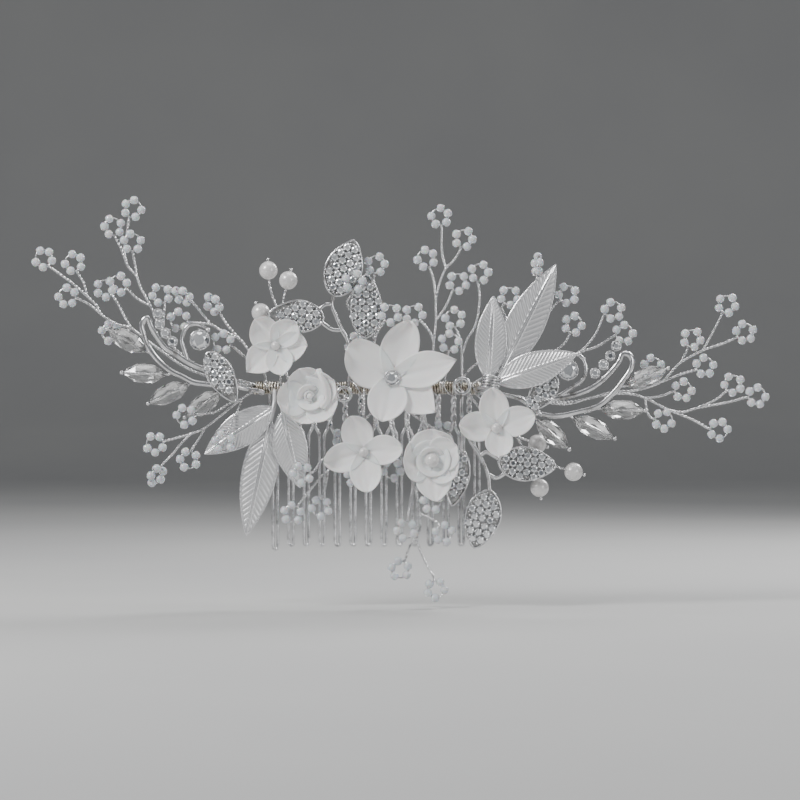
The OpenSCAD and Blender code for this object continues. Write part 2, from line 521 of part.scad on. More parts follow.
// Rings along the stone: [share of the length, share of the full width]
crystal_rings = [[0, 0.18], [0.15, 0.52], [0.35, 0.9], [0.5, 1], [0.65, 0.9], [0.85, 0.52], [1, 0.18]];
module crystal(spec) {
    a = at_y(spec[0], crystal_y);
    b = at_y(spec[1], crystal_y);
    long = norm(b - a);
    n = crystal_sides;
    points = [for (ring = crystal_rings) for (k = [0 : n - 1])
        [crystal_w / 2 * ring[1] * cos(k * 360 / n),
            (ring[1] > 0.9 ? crystal_t : max(crystal_t * ring[1], 0.9)) / 2 * sin(k * 360 / n),
            long * ring[0]]];
    last = (len(crystal_rings) - 1) * n;
    faces = concat([[for (k = [0 : n - 1]) k]],
        [for (j = [0 : len(crystal_rings) - 2]) for (k = [0 : n - 1])
            [j * n + k, (j + 1) * n + k, (j + 1) * n + (k + 1) % n, j * n + (k + 1) % n]],
        [[for (k = [n - 1 : -1 : 0]) last + k]]);
    d = b - a;
    color("lightcyan") translate(a) rotate([0, 90 - atan2(d[2], d[0]), 0]) rotate([0, 0, 90])
        difference() {
            polyhedron(points = points, faces = faces);
            translate([0, 0, -1]) cylinder(h = long + 2, r = pin_r + pin_gap);
        }
}
// A straight pin with a ball end, through a bored piece from its outer end to its inner end
module ball_pin(outer, inner, beyond) {
    d = unit(inner - outer);
    rod(outer - d * 0.3, inner + d * beyond, pin_r);
    translate(outer - d * (pin_ball_r + pin_end_gap)) rotate(knot_turn) sphere(r = pin_ball_r);
}
knee_at = 0.6;            // a crystal's pin bends this far past its inner end
pin_cut = 0.1;
module crystal_pins(specs) color("silver")
    for (spec = specs) {
        outer = at_y(spec[0], crystal_y);
        inner = at_y(spec[1], crystal_y);
        ball_pin(outer, inner, knee_at - pin_cut);
        knee = inner + unit(inner - outer) * knee_at;
        translate(knee) rotate(knot_turn) sphere(r = pin_r * joint_swell);
        rod(knee, at_y(spec[2], swirl_y), pin_r, pin_cut);
    }

// Each pearl: [centre [x, z, y], route of its wire from the pearl]
upper_pearls = [
    [[-26.5, 29.5, -3], [[-26.3, 26, -3], [-25.5, 23], [-24.5, 20.5], [-23.5, 17], [-23.5, 10],
        [-23.5, 2.5], [-23.5, 0, spine_bury]]],
    [[-21.5, 27, -3], [[-22.7, 22.5, -3], [-23.2, 19.5], [-23.5, 17]]],
    [[-28.5, 19, -1.2], [[-26.3, 15, -1.6], [-23.5, 10]]],
];
lower_pearls = [
    [[41.5, -25, -2.6], [[41, -21.5, -2.6], [38.5, -17], [35.5, -12], [31, -7], [25.2, -1, spine_bury]]],
    [[50, -21, -3], [[46.6, -20, -3], [43, -18.5], [38.5, -17]]],
    [[41, -14, -1], [[37.5, -12.8, -1.6], [35.5, -12]]],
];
pearl_wire_y = -2.4;
pin_overrun = 0.7;        // a pin sticks this far out of its piece
knot_at = 0.83;           // the wire's first knot sits this far out of the piece
function pearl_axis(spec) = unit(at_y(spec[1][0], 0) - at_y(spec[0], 0));
module pearl(spec) {
    c = at_y(spec[0], 0);
    reach = pearl_axis(spec) * (pearl_r + 1);
    color("gainsboro") difference() {
        translate(c) rotate(knot_turn) sphere(r = pearl_r);
        rod(c - reach, c + reach, pin_r + pin_gap);
    }
}
module pearl_wires(specs) color("silver")
    for (spec = specs) {
        c = at_y(spec[0], 0);
        axis = pearl_axis(spec);
        ball_pin(c - axis * pearl_r, c + axis * pearl_r, pin_overrun);
        wire(concat([c + axis * (pearl_r + knot_at)], [for (p = spec[1]) at_y(p, pearl_wire_y)]), stem_r,
            len(spec[1]) > 4);
    }

// ---------------------------------------------------------------- nodes

comb_teeth();
comb_spine();
binding_wire();
leaf_sprig_left();
leaf_sprig_right();
leaf_collar();
swirl_left();
swirl_left_stones();
swirl_right();
swirl_right_stones();
pave_branch_upper();
pave_upper_stones();
pave_branch_lower();
pave_lower_stones();
for (i = [0 : 5])
    flower_petals(i);
for (i = [0 : 5]) flower_centre(i);  // flower_centres
flower_stems();
for (i = [0 : 3]) {
    crystal(left_crystals[i]);
    crystal(right_crystals[i]);
}
crystal_pins(left_crystals);  // crystal_pins_left
crystal_pins(right_crystals);  // crystal_pins_right
for (i = [0 : 2]) {
    pearl(upper_pearls[i]);
    pearl(lower_pearls[i]);
}
pearl_wires(upper_pearls);  // pearl_wires_upper
pearl_wires(lower_pearls);  // pearl_wires_lower
spray_beads(OUTER_LEFT, outer_left_loops);  // outer_left_beads
spray_wire(OUTER_LEFT, outer_left_loops);  // outer_left_wire
spray_beads(UPPER_LEFT, upper_left_loops);  // upper_left_beads
spray_wire(UPPER_LEFT, upper_left_loops);  // upper_left_wire
spray_beads(LOWER_LEFT, lower_left_loops);  // lower_left_beads
spray_wire(LOWER_LEFT, lower_left_loops);  // lower_left_wire
spray_beads(TOP, top_loops);  // top_beads
spray_wire(TOP, top_loops);  // top_wire
spray_beads(UPPER_RIGHT, upper_right_loops);  // upper_right_beads
spray_wire(UPPER_RIGHT, upper_right_loops);  // upper_right_wire
spray_beads(OUTER_RIGHT, outer_right_loops);  // outer_right_beads
spray_wire(OUTER_RIGHT, outer_right_loops);  // outer_right_wire
spray_beads(LOWER_RIGHT, lower_right_loops);  // lower_right_beads
spray_wire(LOWER_RIGHT, lower_right_loops);  // lower_right_wire
spray_beads(BOTTOM, bottom_loops);  // bottom_beads
spray_wire(BOTTOM, bottom_loops);  // bottom_wire
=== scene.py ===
"""Looks of a decorative hair comb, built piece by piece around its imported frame."""

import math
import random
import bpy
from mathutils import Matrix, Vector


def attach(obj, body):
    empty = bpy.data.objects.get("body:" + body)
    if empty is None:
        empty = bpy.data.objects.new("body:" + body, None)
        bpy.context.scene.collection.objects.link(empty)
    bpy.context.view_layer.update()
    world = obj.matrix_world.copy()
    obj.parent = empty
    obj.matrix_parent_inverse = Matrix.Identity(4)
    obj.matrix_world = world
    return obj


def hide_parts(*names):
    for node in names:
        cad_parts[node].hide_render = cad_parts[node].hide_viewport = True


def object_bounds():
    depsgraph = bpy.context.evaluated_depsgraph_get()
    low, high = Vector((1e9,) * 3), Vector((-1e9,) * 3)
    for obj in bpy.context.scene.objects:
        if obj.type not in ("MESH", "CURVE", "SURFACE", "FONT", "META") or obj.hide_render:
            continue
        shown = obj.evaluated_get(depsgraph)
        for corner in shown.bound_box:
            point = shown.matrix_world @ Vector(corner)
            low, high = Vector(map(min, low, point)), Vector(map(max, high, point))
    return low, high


bl_info = {
    "name": "Decorative Hair Comb",
    "version": (1, 0, 0),
    "blender": (4, 5, 0),
    "location": "3D View > Sidebar > Hair Comb",
    "description": "Builds a wire hair comb with clay flowers, leaves, stones, crystals, pearls and beads",
    "category": "Object",
}

import bmesh
import bpy
from bpy.props import FloatProperty, FloatVectorProperty, IntProperty, PointerProperty
from mathutils import Matrix, Vector

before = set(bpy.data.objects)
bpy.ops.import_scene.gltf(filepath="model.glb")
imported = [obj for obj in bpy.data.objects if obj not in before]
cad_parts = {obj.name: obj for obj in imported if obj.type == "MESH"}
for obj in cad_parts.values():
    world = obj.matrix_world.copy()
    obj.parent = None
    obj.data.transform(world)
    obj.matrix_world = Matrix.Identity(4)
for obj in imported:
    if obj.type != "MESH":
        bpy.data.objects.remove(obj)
cad_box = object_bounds()

MM = 0.001
COMB = "comb"  # the body that everything fixed belongs to

# ---------------------------------------------------------------- layout, in millimetres
# Points are (x, z), or (x, z, y) where the depth is the point's own.

TOOTH_COUNT = 14
TOOTH_PITCH = 3.9
TOOTH_LENGTH = 40
SPLIT_Z = -12  # where a tooth's legs have come together side by side
TWIST_Z = -9.5  # where the twisted leg pairs end
TOOTH_TWIST_PITCH = 4.2
TOOTH_SWAY = 0.09  # how far a leg may wander out of line
CORE_WIRE = 0.42  # radius of each of the seven wires in the spine
CORE_REACH = 0.78  # from the spine's axis to its outer wires
COIL_WIRE, COIL_REACH = 0.27, 1.42  # radius of the binding wire and of its coil
OVER_WIRE, OVER_REACH, OVER_PITCH = 0.16, 1.72, 7.4  # the thin pair wound loosely over the binding
LEAF_STEM = 0.62
LEAF_THICKNESS = 0.45
COLLAR_WIRE, COLLAR_REACH, COLLAR_PITCH = 0.34, 2.15, 0.7
SWIRL_RAIL, SWIRL_CURL, SWIRL_ROOT = 0.72, 0.6, 0.54
BRANCH_WIRE = 0.5
FLOWER_STRAND, FLOWER_LAY, FLOWER_PITCH = 0.19, 0.18, 2.2
PEARL_STRAND, PEARL_LAY, PEARL_PITCH = 0.17, 0.16, 2.1
SPINE_X = (-31, 27)
BURY = -0.8
SWIRL_Y = -5.5
CRYSTAL_Y = -4.5
PEARL_WIRE_Y = -2.4
BRANCH_Y = -4.2
EYELET_Y = -3.8
BEAD_STEP = 63  # degrees from one bead of a loop to the next
EXIT_HALF_ANGLE = 40  # degrees from a loop's stem to its first bead
PIN_RADIUS = 0.25
BORE_RADIUS = 0.31  # of the crystals and pearls that turn on their pins
CRYSTAL_HEAD = 0.5
PEARL_HEAD = 0.4
CRYSTAL_THICKNESS = 3.5
CLAW_BALL = 0.24
RAIL_SECTION = [0.95, 1.05, 1.0, 0.98, 0.72, 0.62, 0.72, 0.98, 1.0, 1.05, 0.95, 0.85, 0.85, 0.85]

# Each spray: root, depth at the root, depth at the tips, reach, loops.
# Each loop: centre, side of its bare arc, tilt about its stem, route of the stem from the loop.
SPRAYS = {
    "outer_left": ((-30, 0), -1.2, -1.8, 60, [
        ((-83, 32.5), 1, 0, [(-81.5, 30.5), (-76, 26.5), (-72, 23), (-69.5, 20.5), (-68.5, 18.5),
            (-64.5, 16), (-61, 15), (-55, 10.5), (-47, 5), (-38, 2), (-30.2, 0.5, BURY)]),
        ((-75.5, 31.5), 1, 0, [(-74.5, 29), (-73, 26.5), (-72, 23)]),
        ((-77, 23, -3), -1, 0, [(-74.5, 22.5, -2.8), (-71.5, 21), (-68.5, 18.5)]),
        ((-67.5, 25), -1, 0, [(-65.5, 23), (-64, 20.5), (-62.5, 17.5), (-61, 15)]),
        ((-66.5, 14, 0.6), 1, 0, [(-63.5, 14, 0.2), (-61, 15)]),
    ]),
    "upper_left": ((-29, 1), -2.2, -2.5, 50, [
        ((-60.5, 45), -1, 0, [(-61.5, 42.5), (-62, 39), (-62.5, 35), (-62, 31), (-59.5, 28)]),
        ((-65.5, 40.5), -1, 0, [(-65, 38), (-63.5, 35), (-62, 31)]),
        ((-60.5, 36.5, -4.2), -1, 0, [(-60.5, 34, -3.4), (-60, 31), (-59.5, 28), (-58.5, 25), (-56, 20.5),
            (-55, 18), (-53, 14), (-49, 9), (-42, 4.5), (-34, 2), (-28.6, 0.6, BURY)]),
        ((-64, 26, -4.2), -1, 0, [(-61.5, 24.5, -3.2), (-59.5, 22.5), (-56, 20.5)]),
        ((-53.5, 23.5), -1, 0, [(-52.5, 21), (-52.8, 17.5), (-53, 14)]),
        ((-48, 23, -3.6), 1, 55, [(-45.5, 21.5, -3.6), (-43, 18.5), (-41, 16)]),
        ((-49, 17), 1, 0, [(-46, 16.5), (-41, 16), (-38.5, 14.5), (-34, 12.5), (-31.5, 9.5), (-28, 5),
            (-27, 0.5, BURY)]),
        ((-40.5, 21), 1, 50, [(-38.5, 18.5), (-37, 16), (-34, 12.5)]),
        ((-38, 11.5, -3.8), 1, 0, [(-35.5, 10.5, -3.4), (-32, 7.5), (-28, 5)]),
    ]),
    "lower_left": ((-28, -1), -2.2, -2.8, 30, [
        ((-47, -7, -8), 1, 0, [(-43, -6.5, -7.4), (-39.5, -6, -5.5), (-36.5, -4, -3.5), (-33, -2.5)]),
        ((-55, -14), -1, 0, [(-51.5, -13), (-46, -11.5), (-42.5, -10), (-38, -6.5), (-33, -2.5),
            (-30, -0.8, BURY)]),
        ((-54.5, -22), 1, 55, [(-53, -19), (-50.5, -16.5), (-48.5, -14), (-46, -11.5)]),
        ((-46.5, -18), 1, 0, [(-45.5, -15), (-43.5, -12), (-42.5, -10)]),
        ((-37.5, -13.5, -6.4), 1, 0, [(-36, -10, -5.8), (-34.5, -6.5, -4.5), (-33, -2.5)]),
    ]),
    "top": ((8, 0), -2.2, -2.6, 45, [
        ((10, 18.5), -1, 0, [(12.5, 16), (14, 14), (15, 11.5)]),
        ((16.5, 43), 1, 0, [(17, 40), (17, 34), (18, 30)]),
        ((22.5, 37.5), 1, 0, [(21.5, 34.5), (20, 32), (18, 30), (16.5, 26.5), (15.5, 22), (15.5, 17),
            (15, 11.5), (14.5, 5), (14, 0, BURY)]),
        ((13, 32.5), 1, 0, [(14, 30), (15, 26.5), (15.5, 22)]),
        ((21, 26.5), 1, 0, [(19.5, 24), (18, 20.5), (15.5, 17)]),
        ((20, 17.5), 1, 0, [(20.5, 15), (21.5, 12), (22, 8.5), (22, 3), (21.7, 0, BURY)]),
        ((19, 11.5, -5), -1, 0, [(18.5, 8.5, -4), (18, 4), (17.5, 0, BURY)]),
        ((26.5, 29), 1, 0, [(26, 26.5), (26.5, 22.5), (25.5, 16), (23.5, 12.5), (22, 8.5)]),
        ((0.5, 31), 1, 0, [(0, 28), (-0.5, 24), (-1, 20), (0, 12), (0.5, 5), (1, 0, BURY)]),
        ((-5, 26.5, -7), 1, 0, [(-5.5, 23.5, -6.6), (-6.8, 21.5, -4.6), (-5.5, 18.5), (-2.5, 12), (0.5, 5)]),
        ((4, 18.5, -6.8), 1, 0, [(2.5, 16.5, -6.8), (0.5, 13, -6.2), (0, 9, -4.2), (0.5, 5)]),
        ((-4.5, 11, 0.4), 1, 0, [(-3, 8.5, -0.6), (0.5, 5)]),
    ]),
    "upper_right": ((26, 0), -1.6, -1.9, 35, [
        ((34, 23), 1, 0, [(32, 20), (34, 14.5), (31, 9), (25.5, 6), (22.5, 3, -1.2), (20.4, 0, BURY)]),
        ((41, 31, -0.4), 1, 75, [(41, 28, -0.4), (39, 20), (35, 12), (30, 4)]),
        ((48.5, 23.5), 1, 0, [(45, 20.5), (40, 13), (35, 8), (30, 4)]),
        ((50, 16), -1, 0, [(49, 13.5), (47.5, 11), (42, 7), (36, 4.5), (30, 4), (24, 0.6, BURY)]),
        ((60, 19.5), 1, 0, [(57.5, 18), (55.5, 13.5), (51.5, 9), (45, 5.5), (38, 2), (30, 1.5),
            (25.2, 0.2, BURY)]),
        ((62.8, 13.7), 1, 0, [(60, 13), (56, 10.5), (51.5, 9)]),
    ]),
    "outer_right": ((56, -1.5), -1.4, -2.4, 45, [
        ((88.5, 21), 1, 0, [(87, 18), (85, 14), (82.5, 9.5)]),
        ((93, 14), 1, 0, [(90.5, 12.5), (87, 11), (82.5, 9.5), (77, 6.5), (75, 4.5), (72, 1.5), (66, -0.5),
            (60, -1), (52, -3), (46, -3.5), (38, -2.5), (31, -1), (26.8, -0.5, -0.3)]),
        ((79.8, 12.4), 1, 0, [(78.5, 9.5), (77, 6.5)]),
        ((83, 5.5), 1, 0, [(80.5, 4.5), (77, 3.5), (72, 1.5)]),
        ((70, 5.5, -0.9), -1, 0, [(70, 2.5), (66, -0.5)]),
    ]),
    "lower_right": ((56, -1.5), -2.4, -2.8, 45, [
        ((77.5, -0.5), 1, 0, [(74.5, -1), (72, -2), (68, -2.5)]),
        ((90, 1), 1, 0, [(88, -1), (85.5, -3), (81, -5)]),
        ((96, -2), 1, 0, [(92.5, -2.5), (89, -3.5), (81, -5), (77.5, -6), (74, -5.5), (71, -4), (68, -2.5),
            (64.5, -1.5), (60, -1.5), (54, -2.5), (48, -4), (39.5, -3), (31, -1.5), (26.5, -0.6, -1)]),
        ((86.5, -10.5), -1, 0, [(83.5, -10), (80, -8), (74, -5.5)]),
        ((72.5, -8, -4.2), 1, 0, [(69.5, -7.5, -3.4), (68.5, -6, -2.6), (68, -2.5)]),
    ]),
    "bottom": ((8, -2), -1.5, -2.8, 45, [
        ((8, -35.5, -4), 1, 0, [(8.5, -32, -3.6), (9, -28.5), (10, -24)]),
        ((14.5, -28.5, -3.2), 1, 0, [(12, -25.5), (10, -22)]),
        ((17.5, -36.5), 1, 0, [(15.5, -33.5), (11.5, -31.5)]),
        ((6.5, -45.5), 1, 0, [(8, -42.5), (9, -39.5), (10.5, -38), (11.5, -35), (11.5, -31.5), (11, -28.5),
            (10, -24), (10, -22), (9, -14), (8, -9), (8, -4.5), (8, 0, BURY)]),
        ((15.5, -50.5), 1, 0, [(15, -47.5), (12.5, -43), (10.5, -38)]),
        ((-18, -21.5, -6.4), 1, 0, [(-15, -21, -5), (-13.5, -18.5, -3.5), (-11.5, -17), (-8, -14)]),
        ((-20.5, -31.5), 1, 0, [(-18, -28), (-16, -25.5), (-13.5, -22.5), (-11.5, -20.5), (-8, -14),
            (-4, -9.5), (0, -5), (-0.5, 0, BURY)]),
        ((-13.5, -30), -1, 0, [(-13, -27), (-12, -24), (-11.5, -20.5)]),
        ((-7.5, -12.5, -4.2), 1, 0, [(-5, -10.5, -3.4), (-4, -9.5)]),
        ((-4.5, -22), 1, 0, [(-3, -18.5), (-1, -13), (0, -9), (0, -5)]),
        ((4.5, -20.5), -1, 0, [(4.5, -17.5), (5, -13), (4, -8.5), (3, 0, BURY)]),
        ((17, -11), 1, 0, [(14, -9.5), (9.5, -6.5), (8, -4.5)]),
    ]),
}

# Leaves: base, tip, width
LEFT_LEAVES = [
    ((-25, -5, -4), (-42.5, -16.5, -3.5), 8.5),
    ((-26, -8, -3.2), (-32, -37, -3.6), 9),
    ((-23, -6, -4.6), (-18.5, -25, -4), 8.5),
]
RIGHT_LEAVES = [
    ((28.5, 2, -4.6), (30, 23, -4.2), 8),
    ((31.5, 3.5, -4), (45.5, 31, -4.4), 9.5),
    ((30.5, 1.5, -5), (50.5, 8.5, -9.6), 8.5),
]

# Each sprig of leaves: its leaves and its stem
LEAF_SPRIGS = {
    "left": (LEFT_LEAVES, [(-26, -8.5, -3.8), (-25, -4, -3.6), (-25, -0.2, BURY)]),
    "right": (RIGHT_LEAVES, [(29.5, 3, -4.6), (28.5, 0, -4.4), (26, 0, BURY)]),
}

LEFT_OUTER = [(-38.5, 0.5), (-41.5, 1), (-45, 1.5), (-48, 3), (-51, 4.5), (-54, 7), (-56.5, 10.5),
    (-57.5, 13.5), (-58, 15.5), (-57.5, 17), (-56.5, 17.5), (-55.5, 15), (-54, 12.5), (-52, 10),
    (-49.5, 8.5), (-46.5, 6.5), (-43, 5), (-39.5, 4.5)]
LEFT_CURL = [(-46.5, 6.5), (-47.5, 10), (-48, 12), (-47.5, 14), (-46.5, 15.5), (-44.5, 16),
    (-43, 15.5), (-41.5, 14.5)]
LEFT_ROOT = [(-38.5, 0.5), (-36, 1), (-33, 0, -4.6), (-29.5, -0.6, -2.2), (-27.5, -1, -1.5)]
RIGHT_OUTER = [(41.5, -6.5), (45.5, -7), (51, -6), (56, -4.5), (59.5, -1.5), (62, 1.5), (64, 4.5),
    (64.5, 7), (63.5, 8.5), (62, 8.5), (61, 6.5), (58.5, 3.5), (55, 0.5), (50.5, -1.5), (45.5, -2.5),
    (41.5, -2.5)]
RIGHT_CURL = [(45.5, -2.5), (47, -1.5), (50, 0.5), (52, 2), (53, 4.5), (52.5, 7), (51, 8.5)]
RIGHT_ROOT = [(41.5, -6.5), (38.5, -4), (36, -2.5), (32, -1.5, -4.5), (28.5, -1.2, -3.2),
    (26.2, -1.2, -1.6)]
LEFT_ROW = [(-54, 18.5), (-53.5, 16), (-52, 13.7), (-50.3, 11.6)]
RIGHT_ROW = [(60.5, 10.5), (59, 8), (57.3, 5.8), (55.2, 3.7)]
ROW_STONE = 1.05
BIG_STONE = 2.3

# Each swirl: outer rail, curl, root, row of stones, big stone, stone-set plate as base, tip, width
SWIRLS = {
    "left": (LEFT_OUTER, LEFT_CURL, LEFT_ROOT, LEFT_ROW, (-43.5, 12),
             ((-41.5, 9, -6.1), (-34.5, -3.5, -6.1), 6.5)),
    "right": (RIGHT_OUTER, RIGHT_CURL, RIGHT_ROOT, RIGHT_ROW, (48.5, 4.5),
              ((45.5, 3, -5.5), (38.5, -5.5, -5.5), 6)),
}

# Each stone-set branch: stems, plates, eyelet as centre, outer radius, bore radius, and its tie
BRANCHES = {
    "upper": (
        [[(-6.5, 0.5, -3.4), (-6, 6), (-6.5, 11.5), (-8, 14.5), (-9.5, 18), (-10.5, 21), (-9.9, 24)],
         [(-8, 14.5), (-10.5, 14.7), (-12.5, 16), (-14, 17.5)],
         [(-10.5, 21), (-12, 21), (-13.5, 20), (-14.5, 18.5)],
         [(-6, 6), (-3, 10), (-2, 13.5)]],
        [((-10, 23, -4.2), (-5, 37, -4.2), 9.5), ((-2, 12.5, -4.2), (-2, 28.5, -4.2), 8),
         ((-12.5, 17.5, -4.2), (-26.5, 18.5, -4.2), 8)],
        ((-7.5, -1.5), 2.15, 1.3), (-6.5, 0.5)),
    "lower": (
        [[(22, -1.8, -3.4), (22, -7), (24, -13), (26.5, -17), (28.5, -21.5), (29, -26.5)],
         [(26.5, -17), (28, -16), (30, -17), (32.5, -18.6)],
         [(28.5, -21.5), (30.5, -22.5), (32.5, -21.5), (33.5, -20)],
         [(22, -7), (22, -12), (21.8, -16.5)]],
        [((29, -25.5, -5), (25, -40, -5), 9), ((31, -18.5, -5), (45.5, -19.5, -5), 8.5),
         ((22, -15.5, -4.2), (19.5, -29.5, -4.2), 6)],
        ((22, 0.5), 2.4, 1.5), (22, -0.9)),
}
STONE_PITCH = 2.05
PAVE_STONE = 0.98

# Each flower: hub, hub radius, petals as direction, length, width, tip shape, lift and, if any, skew
FLOWERS = [
    ((4.5, 2.5, -8), 2, [(155, 13.5, 11, 0.35, 8, -0.6), (77, 15, 9.5, 0.5, 6, -0.4),
        (14, 17, 9, 0.9, 10, 0.2), (-34, 14, 9.5, 0.9, 8, -0.4), (-100, 11.5, 10, 0.5, 12, -0.2)]),
    ((-24.5, 10.5, -7), 1.8, [(135, 8.5, 8, 0.5, 8, -0.4), (55, 8, 7.5, 0.5, 8, -0.3),
        (-5, 8, 8, 0.6, 4, 0.3),
        (-140, 10, 7.5, 0.9, 8, 0.2), (-75, 8, 7, 0.6, 10)]),
    ((-16, -2, -7), 3, [(32, 7.8, 8.5, 0.4, 14), (110, 7.5, 9, 0.4, 10), (190, 8.5, 9, 0.4, 12),
        (250, 7.5, 9, 0.4, 10), (320, 8, 9, 0.4, 12)]),
    ((-2.5, -16, -6.2), 1.8, [(110, 9.8, 8, 0.45, 8), (7, 10, 7.5, 0.5, 8), (-85, 10.3, 8, 0.5, 8),
        (195, 10.5, 7.5, 0.5, 8)]),
    ((14.5, -18, -7), 3, [(90, 8.2, 11, 0.4, 14), (180, 7.5, 11, 0.4, 10), (-85, 10.5, 9, 0.7, 6),
        (-30, 7.5, 9, 0.5, 12), (30, 7.5, 9, 0.4, 14)]),
    ((30.5, -10, -8), 1.8, [(97, 10.3, 7.5, 0.45, 8), (20, 10.3, 7.5, 0.5, 8), (-80, 7.3, 7, 0.4, 8),
        (175, 9.6, 7.5, 0.45, 8)]),
]
# Rolled inner petals of the two rose-shaped flowers: start, sweep, radius, height, lean
ROSE_WALLS = {
    2: [(0, 300, 1.0, 2.2, 0.1), (40, 170, 1.9, 2.3, 0.3), (200, 180, 2.3, 2.1, 0.45),
        (330, 150, 3.1, 1.9, 0.6), (110, 150, 3.4, 1.7, 0.7)],
    4: [(20, 150, 2.5, 2.0, 0.3), (150, 160, 2.9, 2.0, 0.4), (275, 150, 3.2, 1.8, 0.5),
        (60, 130, 3.9, 1.6, 0.6)],
}
# A petal rolled into a finger: its line in the flower's own frame
FINGER_PETALS = {2: [(2.2, 6.6, 2.6), (3.2, 4.4, 3.4), (4.3, 1.8, 3.6), (4.6, -0.8, 3.0), (3.0, -3.0, 2.6)]}
# Pearls at the flowers' middles: flower, radius, height over its hub
PEARL_CENTRES = ((1, 1.1, 1.6), (3, 1.2, 1.6), (5, 1.3, 1.7), (4, 1.8, 1.9))
# Where each flower's stem meets the spine
FLOWER_SPINE_X = (4.5, -21.5, -15.5, -2.5, 12, 24.3)

# Each crystal: outer tip, inner tip, where its pin meets the swirl
CRYSTALS = {
    "left": [((-66.3, 14.5), (-57.2, 9.3), (-55.4, 9)), ((-62.6, 3.9), (-52.1, 3.4), (-50.5, 4.2)),
             ((-56, -3.6), (-46.5, 0.9), (-44.8, 1.6)), ((-46.9, -7), (-38.4, -1), (-37, 0.8))],
    "right": [((73, 4.7), (63.2, 0.6), (61.6, 1)), ((67.3, -5.6), (56.8, -5.3), (55.5, -4.5)),
              ((59.7, -12.4), (49.8, -7.5), (48.8, -6.3)), ((48.4, -15), (40.7, -8), (41.5, -6.5))],
}
# Each pearl: centre, route of its wire from the pearl
PEARLS = {
    "upper": [((-26.5, 29.5, -3), [(-26.3, 26, -3), (-25.5, 23), (-24.5, 20.5), (-23.5, 17), (-23.5, 10),
                  (-23.5, 2.5), (-23.5, 0, BURY)]),
              ((-21.5, 27, -3), [(-22.7, 22.5, -3), (-23.2, 19.5), (-23.5, 17)]),
              ((-28.5, 19, -1.2), [(-26.3, 15, -1.6), (-23.5, 10)])],
    "lower": [((41.5, -25, -2.6), [(41, -21.5, -2.6), (38.5, -17), (35.5, -12), (31, -7), (25.2, -1, BURY)]),
              ((50, -21, -3), [(46.6, -20, -3), (43, -18.5), (38.5, -17)]),
              ((41, -14, -1), [(37.5, -12.8, -1.6), (35.5, -12)])],
}

# ---------------------------------------------------------------- stage, in metres and watts
# Each light: name, place, size, power. All of them aim at the middle of the comb.
LIGHTS = (("key", (-0.46, -0.34, 0.40), 0.2, 4.2), ("fill", (0.5, -0.5, 0.12), 0.30, 1.0),
          ("top", (0.05, 0.0, 0.55), 0.4, 1.4), ("rim", (0.3, 0.28, 0.3), 0.2, 2.0))
# The floor's line, back from the onlooker: depth, height above its lowest level
FLOOR_LINE = ((-1.2, 0), (1.2, 0), (1.45, 0.04), (1.6, 0.15), (1.7, 0.35), (1.75, 2.4))
FLOOR_HALF_WIDTH = 3
FLOOR_GAP = 1.5 * MM  # air between the lowest bead and the floor
SKY_STRENGTH = 0.28
CAMERA_PLACE = (6.5 * MM, -0.755, -3.0 * MM)
CAMERA_LENS = 135
CAMERA_SENSOR = 36


class HairCombSettings(bpy.types.PropertyGroup):
    """Sizes and colours that a maker of the comb would choose"""
    tooth_radius: FloatProperty(name="Tooth wire radius", description="Radius of the wire of the teeth",
                                default=0.4 * MM, unit="LENGTH", precision=5)
    tooth_gap: FloatProperty(name="Half tooth gap", description="Half the distance between a tooth's legs",
                             default=0.6 * MM, unit="LENGTH", precision=5)
    strand_radius: FloatProperty(name="Strand radius", description="Radius of one strand of a stem",
                                 default=0.17 * MM, unit="LENGTH", precision=5)
    twist_pitch: FloatProperty(name="Twist pitch", description="Length of one turn of a stem's two strands",
                               default=1.9 * MM, unit="LENGTH", precision=5)
    loop_radius: FloatProperty(name="Loop radius", description="Radius of a bead loop",
                               default=2.15 * MM, unit="LENGTH", precision=5)
    bead_radius: FloatProperty(name="Bead radius", description="Outer radius of a seed bead",
                               default=1.1 * MM, unit="LENGTH", precision=5)
    pearl_radius: FloatProperty(name="Pearl radius", description="Radius of a pearl",
                                default=2.3 * MM, unit="LENGTH", precision=5)
    crystal_width: FloatProperty(name="Crystal width", description="Width of a pointed crystal",
                                 default=5 * MM, unit="LENGTH", precision=5)
    binding_pitch: FloatProperty(name="Binding pitch", description="Length of one turn of the binding wire",
                                 default=0.66 * MM, unit="LENGTH", precision=5)
    vein_count: IntProperty(name="Leaf veins", description="Pairs of side veins on a leaf", default=19)
    clay_color: FloatVectorProperty(name="Clay", description="Colour of the flower clay", subtype="COLOR",
                                    size=3, default=(0.90, 0.895, 0.885), min=0, max=1)
    bead_color: FloatVectorProperty(name="Seed beads", description="Colour of the seed bead glass",
                                    subtype="COLOR", size=3, default=(0.88, 0.92, 0.96), min=0, max=1)
    silver_color: FloatVectorProperty(name="Silver", description="Colour of the plated metal",
                                      subtype="COLOR", size=3, default=(0.83, 0.83, 0.84), min=0, max=1)


# ---------------------------------------------------------------- geometry helpers

def place(point, depth):
    """A layout point as a position in metres; depth is used where the point has none of its own"""
    return Vector((point[0], point[2] if len(point) > 2 else depth, point[1])) * MM


def spray_depth(spray, point):
    """Stems lean forward from the spray's root to its tips"""
    root, at_root, at_tips, reach, _ = spray
    if len(point) > 2:
        return point[2]
    share = min(1, math.dist(point[:2], root) / reach)
    return at_root + (at_tips - at_root) * share


def spray_place(spray, point):
    return place(point[:2], spray_depth(spray, point))


